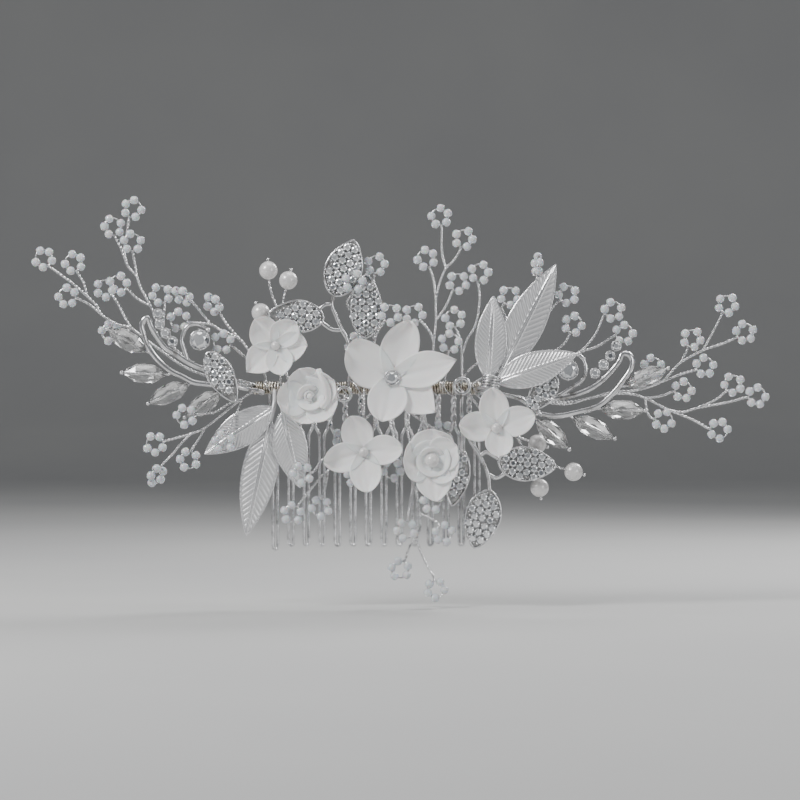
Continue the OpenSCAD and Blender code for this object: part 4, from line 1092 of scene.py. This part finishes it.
class HAIRCOMB_OT_sprays(bpy.types.Operator):
    """Twist the stems, bend the loops and string their beads"""
    bl_idname = "hair_comb.sprays"
    bl_label = "Bead sprays"

    def execute(self, context):
        settings = context.scene.hair_comb
        chance = random.Random(11)
        for name, spray in SPRAYS.items():
            beads, stems, rings = [], [], Shape()
            for loop in spray[4]:
                matrix = loop_matrix(spray, loop)
                beads += self.bead_places(matrix, loop[1], settings, chance)
                ring = [matrix @ Vector((settings.loop_radius * math.cos(math.tau * k / 28),
                                         settings.loop_radius * math.sin(math.tau * k / 28), 0))
                        for k in range(28)]
                rings.add(tube(ring, settings.strand_radius * 1.1, 6, closed=True))
                start = matrix @ Vector((settings.loop_radius, 0, 0))
                route = [start] + [spray_place(spray, p) for p in loop[3]]
                stems.append(smooth_path(route, 0.8 * MM))
            strung = set_pieces(name + "_beads", beads, bead_shell(settings.bead_radius),
                                finish_of(bead_glass), 3, smooth=True)
            hand_over(strung, COMB, "seed_bead", name + "_beads")
            wires = lay_strands(name + "_stems", stems, finish_of(wire_silver), 2, settings.strand_radius,
                                settings.strand_radius * 1.15, settings.twist_pitch, 0.3 * MM, 6)
            loops = rings.object(name + "_rings", finish_of(wire_silver))
            hand_over(joined(name + "_wire", [wires, loops]), COMB, "silver_wire", name + "_wire")
        return {"FINISHED"}

    def bead_places(self, matrix, side, settings, chance):
        places = []
        for i in range(5):
            step = EXIT_HALF_ANGLE + i * BEAD_STEP if i < 3 else -EXIT_HALF_ANGLE - (i - 3) * BEAD_STEP
            turn = Matrix.Rotation(math.radians(side * step), 4, "Z")
            out = Matrix.Translation((settings.loop_radius, 0, 0))
            tip = Matrix.Rotation(math.radians(chance.uniform(-9, 9)), 4, "Z")
            size = Matrix.Scale(chance.uniform(0.93, 1.0), 4)
            places.append(matrix @ turn @ out @ tip @ size)
        return places


def leaf_half(t, wide, blunt):
    """Half the width of a leaf; blunt below 1 rounds its ends"""
    return wide / 2 * max(0.0, math.sin(math.pi * t ** 0.85)) ** blunt


def leaf_shell(spec, veins):
    """A cupped leaf with a raised rim, midrib and slanting side veins"""
    matrix, long = along(spec[0], spec[1])
    wide = spec[2] * MM

    def features(u, v):
        half = max(leaf_half(min(max(u, 0.001), 0.999), wide, 0.8), 0.2 * MM)
        y = half * v
        from_edge = half * (1 - abs(v))
        rim = math.exp(-(from_edge / (0.34 * MM)) ** 2)
        twin = abs(abs(y) - (0.42 - 0.3 * u) * MM)
        midrib = math.exp(-(twin / (0.2 * MM)) ** 2)
        lean = (u * long - abs(y) * 1.1) / long
        wave = 0.5 + 0.5 * math.cos(math.tau * veins * lean)
        vein = wave ** 1.5 * min(1, abs(y) / (0.7 * MM)) * 0.55
        return y, max(rim, midrib, vein)

    def point(u, v):
        y, high = features(u, v)
        cup = 0.35 * MM * (1 - v * v) - 0.15 * MM
        bow = 0.5 * MM * math.sin(math.pi * u)
        return Vector((u * long, y, cup + bow + 0.26 * MM * high))

    # The raised rim, midrib and veins: leaf_silver paints them lighter as painted highlight and the hollows
    # darker as painted shade, and makes them glossier
    def relief(u, v):
        return min(1.0, features(u, v)[1])

    def inside(u, v, spot):
        return spot - Vector((0, 0, LEAF_THICKNESS * MM))

    verts, faces, values = sheet(point, inside, 170, 36, relief)
    return [matrix @ p for p in verts], faces, values


class HAIRCOMB_OT_leaves(bpy.types.Operator):
    """Press the veined leaves and wrap their collar"""
    bl_idname = "hair_comb.leaves"
    bl_label = "Leaves"

    def execute(self, context):
        veins = context.scene.hair_comb.vein_count
        for side, (leaves, stem) in LEAF_SPRIGS.items():
            name = "leaf_sprig_" + side
            sprig = Shape()
            for spec in leaves:
                sprig.add(leaf_shell(spec, veins))
            path = smooth_path([place(p, 0) for p in stem], 0.5 * MM)
            sprig.add(tube(path, LEAF_STEM * MM, 10))
            hand_over(sprig.object(name + "_leaves", finish_of(leaf_silver)), COMB, "frosted_silver", name)
        axis = [Vector((28.8 + 0.2 * k, -4.6, -0.5 + 0.9 * k)) * MM for k in range(5)]
        wrap = lay_strands("collar_wrap", [axis], finish_of(cast_silver), 1, COLLAR_WIRE * MM,
                           COLLAR_REACH * MM, COLLAR_PITCH * MM, 0.03 * MM, 8)
        hand_over(wrap, COMB, "cast_silver", "leaf_collar")
        return {"FINISHED"}


def grooved(path, radius):
    """A rail with a groove along its front"""
    return tube(path, radius, len(RAIL_SECTION), section=RAIL_SECTION)


def cup_shell(radius, wall):
    """The cup that holds a round stone"""
    return revolve([(radius - 0.25 * MM, -0.6 * MM), (radius + wall, -0.6 * MM), (radius + wall, 0.75 * MM),
                    (radius + wall * 0.6, 0.95 * MM), (radius - 0.02 * MM, 0.9 * MM),
                    (radius - 0.25 * MM, 0.2 * MM)], 24)


def plate_outline_half(long, wide, x):
    """Half the width of a stone-set plate at x"""
    return leaf_half(min(max(x / long, 0.0), 1.0), wide, 0.7)


def plate_stones(long, wide):
    """Rows of stones across a plate, shifted half a step in every other row"""
    pitch = STONE_PITCH * MM
    places = []
    for row in range(1, int(long / (pitch * 0.87))):
        x = row * pitch * 0.87 + 0.2 * MM
        shift = 0 if row % 2 == 0 else pitch / 2
        room = plate_outline_half(long, wide, x) - PAVE_STONE * 0.7 * MM
        for k in range(-3, 4):
            y = k * pitch + shift
            if abs(y) <= room:
                places.append((x, y))
    return places


def prong_spots(stones, pitch):
    """The gaps between neighbouring stones, each listed once"""
    spots = []
    for x, y in stones:
        for k in range(6):
            a = math.tau * (k + 0.5) / 6
            spot = (x + pitch / math.sqrt(3) * math.cos(a), y + pitch / math.sqrt(3) * math.sin(a))
            if all(math.dist(spot, other) > 0.5 * MM for other in spots):
                spots.append(spot)
    return spots


def stone_plate(spec, metal, base):
    """A plate with its edge wire and prongs; returns where its stones go"""
    matrix, long = along(spec[0], spec[1])
    wide = spec[2] * MM
    steps = 28
    edge = [Vector((long * k / steps, plate_outline_half(long, wide, long * k / steps), 0))
            for k in range(steps + 1)]
    edge += [Vector((p.x, -p.y, 0)) for p in reversed(edge[1:-1])]
    half = 0.5 * MM
    low = [matrix @ (p + Vector((0, 0, -half))) for p in edge]
    high = [matrix @ (p + Vector((0, 0, half * 0.7))) for p in edge]
    count = len(edge)
    faces = [[k, (k + 1) % count, count + (k + 1) % count, count + k] for k in range(count)]
    faces += [list(reversed(range(count))), [count + k for k in range(count)]]
    base.add((low + high, faces))
    rim = [matrix @ Vector((p.x * 0.99 + long * 0.005, p.y * 0.97, half)) for p in edge]
    metal.add(tube(rim, 0.3 * MM, 6, closed=True))
    stones = plate_stones(long, wide)
    prongs = []
    for x, y in prong_spots(stones, STONE_PITCH * MM):
        if 0.4 * MM < x < long - 0.4 * MM and abs(y) < plate_outline_half(long, wide, x):
            prongs.append(matrix @ Matrix.Translation((x, y, half + 0.55 * MM)))
    chance = random.Random(int(long / MM * 10))
    places = [matrix @ Matrix.Translation((x, y, half + 0.35 * MM))
              @ Matrix.Rotation(chance.uniform(0, 1), 4, "Z") for x, y in stones]
    return places, prongs


def hand_over_set(name, side, node, metal, base, prongs):
    """Metal, dark plate and claws of a stone-set piece, as one"""
    parts = [metal.object(side + "_metal", finish_of(cast_silver)),
             base.object(side + "_plate", finish_of(dark_silver), smooth=False),
             set_pieces(side + "_claws", prongs, ball(CLAW_BALL * MM, 8, 5), finish_of(cast_silver), 5, True)]
    hand_over(joined(name + "_metal", parts), COMB, "cast_silver", node)


def hand_over_gems(name, places, seed, node):
    """Cut stones at the places, each scaled to its radius"""
    gems = set_pieces(name + "_gems", places, gem(1), finish_of(foiled_stone), seed)
    hand_over(gems, COMB, "rhinestone", node)


class HAIRCOMB_OT_swirls(bpy.types.Operator):
    """Bend the scrolled swirls and set their stones"""
    bl_idname = "hair_comb.swirls"
    bl_label = "Swirls"

    def execute(self, context):
        for side, (outer, curl, root, row, big, plate) in SWIRLS.items():
            metal, base = Shape(), Shape()
            rail = smooth_path([place(p, SWIRL_Y) for p in outer], 0.5 * MM)
            metal.add(grooved(rail, SWIRL_RAIL * MM))
            inner = smooth_path([place(p, SWIRL_Y) for p in curl], 0.4 * MM)
            taper = [SWIRL_CURL * MM * (1 - 0.3 * k / len(inner)) for k in range(len(inner))]
            metal.add(grooved(inner, taper))
            metal.add(ball(0.62 * MM), Matrix.Translation(inner[-1]))
            stem = smooth_path([place(p, SWIRL_Y) for p in root], 0.5 * MM)
            metal.add(tube(stem, SWIRL_ROOT * MM, 10))
            spots = [(p, ROW_STONE) for p in row] + [(big, BIG_STONE)]
            for spot, radius in spots:
                self.cup(metal, spot, radius * MM)
            places, prongs = stone_plate(plate, metal, base)
            hand_over_set("swirl_" + side, side, "swirl_" + side, metal, base, prongs)

            stones = [m @ Matrix.Scale(PAVE_STONE * MM, 4) for m in places]
            for spot, radius in spots:
                stones.append(facing(spot[0], SWIRL_Y - 0.75, spot[1]) @ Matrix.Scale(radius * MM, 4))
            hand_over_gems("swirl_" + side, stones, 9, "swirl_" + side + "_stones")
        return {"FINISHED"}

    def cup(self, metal, spot, radius):
        seat = facing(spot[0], SWIRL_Y - 0.1, spot[1])
        metal.add(cup_shell(radius, 0.28 * MM), seat)
        count = 4 if radius < 1.5 * MM else 6
        for k in range(count):
            a = math.tau * (k + 0.5) / count
            foot = Vector((math.cos(a), math.sin(a), 0)) * (radius + 0.2 * MM)
            head = Vector((math.cos(a), math.sin(a), 0)) * (radius * 0.84)
            claw = [foot + Vector((0, 0, 0.2 * MM)), foot + Vector((0, 0, 0.95 * MM)),
                    head + Vector((0, 0, 1.15 * MM))]
            metal.add(tube(claw, [0.26 * MM, 0.24 * MM, 0.16 * MM], 6), seat)


class HAIRCOMB_OT_branches(bpy.types.Operator):
    """Build the stone-set branches with their eyelets"""
    bl_idname = "hair_comb.branches"
    bl_label = "Stone-set branches"

    def execute(self, context):
        for side, (stems, plates, eyelet, tie) in BRANCHES.items():
            metal, base = Shape(), Shape()
            for stem in stems:
                path = smooth_path([place(p, BRANCH_Y) for p in stem], 0.5 * MM)
                metal.add(grooved(path, BRANCH_WIRE * MM))
            centre, outer, bore = eyelet
            mid, half = (outer + bore) / 2 * MM, (outer - bore) / 2 * MM
            profile = [(mid + half * math.cos(math.tau * k / 10), 0.4 * MM * math.sin(math.tau * k / 10))
                       for k in range(10)]
            metal.add(revolve(profile, 36), facing(centre[0], EYELET_Y, centre[1]))
            metal.add(tube([place(tie, -3.4), place(tie, BURY)], BRANCH_WIRE * MM, 10))
            places, prongs = [], []
            for plate in plates:
                more_places, more_prongs = stone_plate(plate, metal, base)
                places += more_places
                prongs += more_prongs
            hand_over_set("branch_" + side, side, "pave_branch_" + side, metal, base, prongs)
            stones = [m @ Matrix.Scale(PAVE_STONE * MM, 4) for m in places]
            hand_over_gems("branch_" + side, stones, 6, "pave_" + side + "_stones")
        return {"FINISHED"}


def petal_half(t, wide, point):
    """Half the width of a petal; point below 1 blunts its tip"""
    if t < 0.5:
        return wide / 2 * (0.35 + 0.65 * math.sin(math.pi * t))
    return wide / 2 * max(0.0, math.cos(math.pi * (t - 0.5))) ** point


def petal_shell(petal, seed):
    """A clay petal: cupped, wavy at the edge, with a rolled rim and pressed fold lines; its values mark the
    painted shade at its root, along its middle crease and in its fold lines
    """
    direction, long, wide, point_shape, lift = petal[:5]
    skew = petal[5] if len(petal) > 5 else 0.0
    chance = random.Random(seed)
    phase, wave = chance.uniform(0, 6), chance.uniform(0.25, 0.5) * MM
    cup, tip_curl = chance.uniform(0.9, 1.5) * MM, chance.uniform(0.2, 1.1) * MM
    long, wide = long * MM, wide * MM

    def point(u, v):
        half = max(petal_half(min(u, 0.995), wide, point_shape), 0.12 * MM)
        crease = -0.35 * MM * math.exp(-(v / 0.16) ** 2) * (1 - u)
        rise = cup * abs(v) ** 2.2 * (0.35 + 0.65 * u) + tip_curl * max(0.0, u - 0.55) ** 2 * 4
        ruffle = wave * v * v * math.sin(7 * u + phase + 2 * v) * u
        fold = 0.08 * MM * math.sin(11 * v + phase + 2 * u) * u
        aside = skew * wide * 0.3 * u ** 2.5
        return Vector((u * long, half * v + aside, 0.9 * MM + crease + rise + ruffle + fold))

    def inside(u, v, spot):
        rim = max(math.exp(-((1 - abs(v)) / 0.10) ** 2), math.exp(-((1 - u) / 0.06) ** 2))
        return spot - Vector((0, 0, (0.55 + 0.3 * (1 - u) + 0.22 * rim) * MM))

    # Painted shade: darkest at the petal's root by the hub, along its middle crease and in its fold lines
    def painted_fold_shade(u, v):
        hub = math.exp(-(u / 0.22) ** 2)
        crease = math.exp(-(v / 0.12) ** 2) * (1 - u) * 0.5
        lines = 0.25 * (0.5 + 0.5 * math.sin(11 * v + phase + 2 * u)) ** 4 * u
        return min(1.0, hub * 0.8 + crease + lines)

    turn = (Matrix.Rotation(math.radians(direction), 4, "Z") @ Matrix.Rotation(math.radians(-lift), 4, "Y"))
    verts, faces, values = sheet(point, inside, 26, 20, painted_fold_shade)
    return [turn @ p for p in verts], faces, values


def rose_wall(start, sweep, radius, height, lean):
    """An upright rolled petal round a rose's middle"""
    def point(u, v):
        a = math.radians(start + sweep * u)
        fade = math.sin(math.pi * min(max(u, 0.02), 0.98)) ** 0.45
        h = (v + 1) / 2
        out = radius * (0.92 + 0.16 * u) + lean * height * h * h * 1.6
        top = height * h * fade - 0.25 * max(0.0, h - 0.8) * height
        return Vector((out * math.cos(a), out * math.sin(a), 0.9 + top)) * MM

    def inside(u, v, spot):
        return spot + Vector((-spot.x, -spot.y, 0)).normalized() * (0.55 - 0.2 * (v + 1) / 2) * MM

    # Painted shade darkens each rolled petal towards its foot
    return sheet(point, inside, 30, 8, lambda u, v: max(0.0, -v) * 0.7)


class HAIRCOMB_OT_flowers(bpy.types.Operator):
    """Model the clay flowers, their centres and their stems"""
    bl_idname = "hair_comb.flowers"
    bl_label = "Flowers"

    def execute(self, context):
        for i, (hub, hub_radius, petals) in enumerate(FLOWERS):
            seat = facing(hub[0], hub[2], hub[1])
            clay = Shape()
            clay.add(lathe([(hub_radius * 0.7 * MM, -0.6 * MM), (hub_radius * MM, -0.2 * MM),
                            (hub_radius * MM, 0.6 * MM), (hub_radius * 0.6 * MM, 0.95 * MM)], 24), seat)
            for k, petal in enumerate(petals):
                step = Matrix.Translation((0, 0, 0.18 * MM * (k % 3)))
                clay.add(petal_shell(petal, 10 * i + k), seat @ step)
            for wall in ROSE_WALLS.get(i, []):
                clay.add(rose_wall(*wall), seat)
            if i in FINGER_PETALS:
                roll = smooth_path([Vector(p) * MM for p in FINGER_PETALS[i]], 0.4 * MM)
                thick = [1.05 * MM * (0.45 + 0.55 * math.sin(math.pi * (0.15 + 0.7 * k / len(roll))))
                         for k in range(len(roll))]
                clay.add(tube(roll, thick, 14, section=[1, 0.95, 0.8, 0.6, 0.5, 0.6, 0.8] * 2), seat)
            name = "flower_%d" % (i + 1)
            hand_over(clay.object(name + "_clay", finish_of(flower_clay)), COMB, "clay", name + "_petals")
        self.centres()
        self.stems()
        return {"FINISHED"}

    def centres(self):
        def seat(i, rise):
            hub = FLOWERS[i][0]
            return facing(hub[0], hub[2] - rise, hub[1])
        metal = Shape()
        metal.add(cup_shell(1.7 * MM, 0.25 * MM), seat(0, 1.2))
        for k in range(6):
            a = math.tau * k / 6
            spread = Vector((math.cos(a), math.sin(a), 0))
            claw = [spread * 1.9 * MM, spread * 1.9 * MM + Vector((0, 0, 0.9 * MM)),
                    spread * 1.4 * MM + Vector((0, 0, 1.1 * MM))]
            metal.add(tube(claw, [0.26 * MM, 0.24 * MM, 0.15 * MM], 6), seat(0, 1.2))
        pearls = Shape()
        for i, radius, rise in PEARL_CENTRES:
            pearls.add(ball(radius * MM, 20, 14), seat(i, rise))
        clay = Shape().add(ball(0.8 * MM, 14, 8), seat(2, 2.2))
        stone = set_pieces("flower_gem", [seat(0, 1.75) @ Matrix.Scale(1.7 * MM, 4)], gem(1),
                           finish_of(foiled_stone), 2)
        parts = [metal.object("flower_cup", finish_of(cast_silver)), stone,
                 pearls.object("flower_pearls", finish_of(pearl_lustre)),
                 clay.object("flower_bud", finish_of(flower_clay))]
        hand_over(joined("flower_middles", parts), COMB, "rhinestone", "flower_centres")

    def stems(self):
        paths = []
        for (hub, _, _), x in zip(FLOWERS, FLOWER_SPINE_X):
            paths.append(smooth_path([place(hub, 0) + Vector((0, 0.6 * MM, 0)), place(hub[:2], -3.4),
                                      place((x, 2.2 if hub[1] > 0 else -2.2), -3), place((x, 0), BURY)],
                                     0.6 * MM))
        stems = lay_strands("flower_stem_wires", paths, finish_of(wire_silver), 2,
                            FLOWER_STRAND * MM, FLOWER_LAY * MM, FLOWER_PITCH * MM, 0.3 * MM)
        hand_over(stems, COMB, "silver_wire", "flower_stems")


def crystal_shell(long, width, thickness, bore):
    """A pointed crystal cut in long facets, bored from end to end; local Z runs along it"""
    rings = [(0, 0.17), (0.1, 0.5), (0.28, 0.92), (0.5, 1.06), (0.72, 0.92), (0.9, 0.5), (1, 0.17)]
    sides = 8
    verts = []
    for i, (share, wide) in enumerate(rings):
        turn = 0.5 if i % 2 else 0.0
        for k in range(sides):
            a = math.tau * (k + turn) / sides
            deep = max(thickness * wide, 0.9 * MM)
            verts.append(Vector((width / 2 * wide * math.cos(a), deep / 2 * math.sin(a), long * share)))
    faces = []
    for i in range(len(rings) - 1):
        for k in range(sides):
            n = (k + 1) % sides
            a, b, c, d = i * sides + k, i * sides + n, (i + 1) * sides + n, (i + 1) * sides + k
            faces += [[a, b, d], [b, c, d]] if i % 2 == 0 else [[a, b, c], [a, c, d]]
    top = len(verts)
    for share in (0, 1):
        for k in range(sides):
            a = math.tau * k / sides
            verts.append(Vector((bore * math.cos(a), bore * math.sin(a), long * share)))
    last = (len(rings) - 1) * sides
    for k in range(sides):
        n = (k + 1) % sides
        faces.append([top + k, top + n, top + sides + n, top + sides + k])
        faces.append([k, n, top + n, top + k])
        faces.append([last + k, last + n, top + sides + n, top + sides + k])
    return verts, faces


class HAIRCOMB_OT_crystals(bpy.types.Operator):
    """Cut the pointed crystals and run their pins through them"""
    bl_idname = "hair_comb.crystals"
    bl_label = "Crystals"

    def execute(self, context):
        settings = context.scene.hair_comb
        chance = random.Random(8)
        for side, crystals in CRYSTALS.items():
            pins = Shape()
            for i, (outer, inner, anchor) in enumerate(crystals):
                a, b = place(outer, CRYSTAL_Y), place(inner, CRYSTAL_Y)
                run = (b - a).normalized()
                across = Vector((0, 1, 0)).cross(run).normalized()
                turn = Matrix((across, run.cross(across), run)).transposed().to_4x4()
                stone = crystal_shell((b - a).length, settings.crystal_width * 0.98,
                                      CRYSTAL_THICKNESS * MM, BORE_RADIUS * MM)
                name = "crystal_%s_%d" % (side, i + 1)
                cut = Shape().add(stone, Matrix.Translation(a) @ turn)
                glass = cut.object(name + "_glass", finish_of(crystal_glass), smooth=False)
                # A random value on each face of the glass, which crystal_glass turns into painted highlight
                # and painted shade
                facets = [chance.random() for _ in glass.data.polygons]
                glass.data.attributes.new("painted_facet_light", "FLOAT", "FACE").data.foreach_set("value", facets)
                hand_over(glass, name, "crystal", name)
                pins.add(ball(CRYSTAL_HEAD * MM, 16, 10), Matrix.Translation(a - run * 0.6 * MM))
                end, knee = a - run * 0.3 * MM, b + run * 0.6 * MM
                bend = smooth_path([end, knee, place(anchor, SWIRL_Y)], 0.6 * MM)[-3:]
                pins.add(tube([end, b] + bend, PIN_RADIUS * MM, 8))
            name = "crystal_pins_" + side
            hand_over(pins.object(name + "_wire", finish_of(wire_silver)), COMB, "silver_wire", name)
        return {"FINISHED"}


class HAIRCOMB_OT_pearls(bpy.types.Operator):
    """Turn the pearls and twist their stems"""
    bl_idname = "hair_comb.pearls"
    bl_label = "Pearls"

    def execute(self, context):
        settings = context.scene.hair_comb
        radius, bore = settings.pearl_radius, BORE_RADIUS * MM
        start = math.asin(bore / radius)
        profile = [(radius * math.sin(start + (math.pi - 2 * start) * k / 24),
                    -radius * math.cos(start + (math.pi - 2 * start) * k / 24)) for k in range(25)]
        for side, pearls in PEARLS.items():
            pins, paths = Shape(), []
            for i, (centre, route) in enumerate(pearls):
                middle, first = place(centre, 0), place(route[0], PEARL_WIRE_Y)
                run = (first - middle).normalized()
                name = "pearl_%s_%d" % (side, i + 1)
                bead = Shape().add(revolve(profile, 40), aimed(middle, run))
                hand_over(bead.object(name + "_bead", finish_of(pearl_lustre)), name, "pearl", name)
                head = Matrix.Translation(middle - run * (radius + 0.45 * MM))
                pins.add(ball(PEARL_HEAD * MM, 16, 10), head)
                pins.add(tube([middle - run * (radius + 0.3 * MM), middle + run * (radius + 0.8 * MM)],
                              PIN_RADIUS * MM, 10))
                paths.append(smooth_path([middle + run * (radius + 0.5 * MM)]
                                         + [place(p, PEARL_WIRE_Y) for p in route], 0.7 * MM))
            stems = lay_strands(side + "_pearl_stems", paths, finish_of(wire_silver), 2,
                                PEARL_STRAND * MM, PEARL_LAY * MM, PEARL_PITCH * MM, 0.3 * MM)
            held = pins.object(side + "_pearl_pins", finish_of(wire_silver))
            hand_over(joined("pearl_wires_%s_twist" % side, [stems, held]), COMB, "silver_wire",
                      "pearl_wires_" + side)
        return {"FINISHED"}


class HAIRCOMB_OT_stage(bpy.types.Operator):
    """Set the floor, the lights and the camera"""
    bl_idname = "hair_comb.stage"
    bl_label = "Stage"

    def execute(self, context):
        scene = context.scene
        low = min(corner[2] for corner in cad_box) - FLOOR_GAP
        verts = [Vector((x, y, low + rise)) for y, rise in FLOOR_LINE
                 for x in (-FLOOR_HALF_WIDTH, FLOOR_HALF_WIDTH)]
        faces = [[2 * k, 2 * k + 1, 2 * k + 3, 2 * k + 2] for k in range(len(FLOOR_LINE) - 1)]
        floor = Shape().add((verts, faces))
        floor.object("studio_floor", finish_of(floor_paint))

        world = bpy.data.worlds.new("studio")
        world.use_nodes = True
        backdrop = world.node_tree.nodes["Background"]
        backdrop.inputs["Color"].default_value = (0.75, 0.77, 0.8, 1)
        backdrop.inputs["Strength"].default_value = SKY_STRENGTH
        scene.world = world
        for name, spot, size, power in LIGHTS:
            data = bpy.data.lights.new(name, "AREA")
            data.energy = power
            data.size = size
            lamp = linked(name, data)
            lamp.location = spot
            lamp.rotation_euler = (-Vector(spot)).to_track_quat("-Z", "Y").to_euler()

        data = bpy.data.cameras.new("camera")
        data.lens = CAMERA_LENS
        data.sensor_width = CAMERA_SENSOR
        camera = linked("camera", data)
        camera.location = CAMERA_PLACE
        camera.rotation_euler = (math.pi / 2, 0, 0)
        scene.camera = camera
        return {"FINISHED"}


class HAIRCOMB_PT_panel(bpy.types.Panel):
    """Lists the steps that build the comb"""
    bl_idname = "HAIRCOMB_PT_panel"
    bl_label = "Hair Comb"
    bl_space_type = "VIEW_3D"
    bl_region_type = "UI"
    bl_category = "Hair Comb"

    def draw(self, context):
        for name in HairCombSettings.__annotations__:
            self.layout.prop(context.scene.hair_comb, name)
        for step in STEPS:
            self.layout.operator(step.bl_idname)


STEPS = (HAIRCOMB_OT_stage, HAIRCOMB_OT_teeth, HAIRCOMB_OT_spine, HAIRCOMB_OT_sprays, HAIRCOMB_OT_leaves,
         HAIRCOMB_OT_swirls, HAIRCOMB_OT_branches, HAIRCOMB_OT_flowers, HAIRCOMB_OT_crystals,
         HAIRCOMB_OT_pearls)
CLASSES = (HairCombSettings,) + STEPS + (HAIRCOMB_PT_panel,)


def register():
    for cls in CLASSES:
        bpy.utils.register_class(cls)
    bpy.types.Scene.hair_comb = PointerProperty(type=HairCombSettings)


def unregister():
    del bpy.types.Scene.hair_comb
    for cls in reversed(CLASSES):
        bpy.utils.unregister_class(cls)


def main():
    register()
    for step in STEPS:
        getattr(bpy.ops.hair_comb, step.bl_idname.split(".")[1])()


if __name__ == "__main__":
    main()
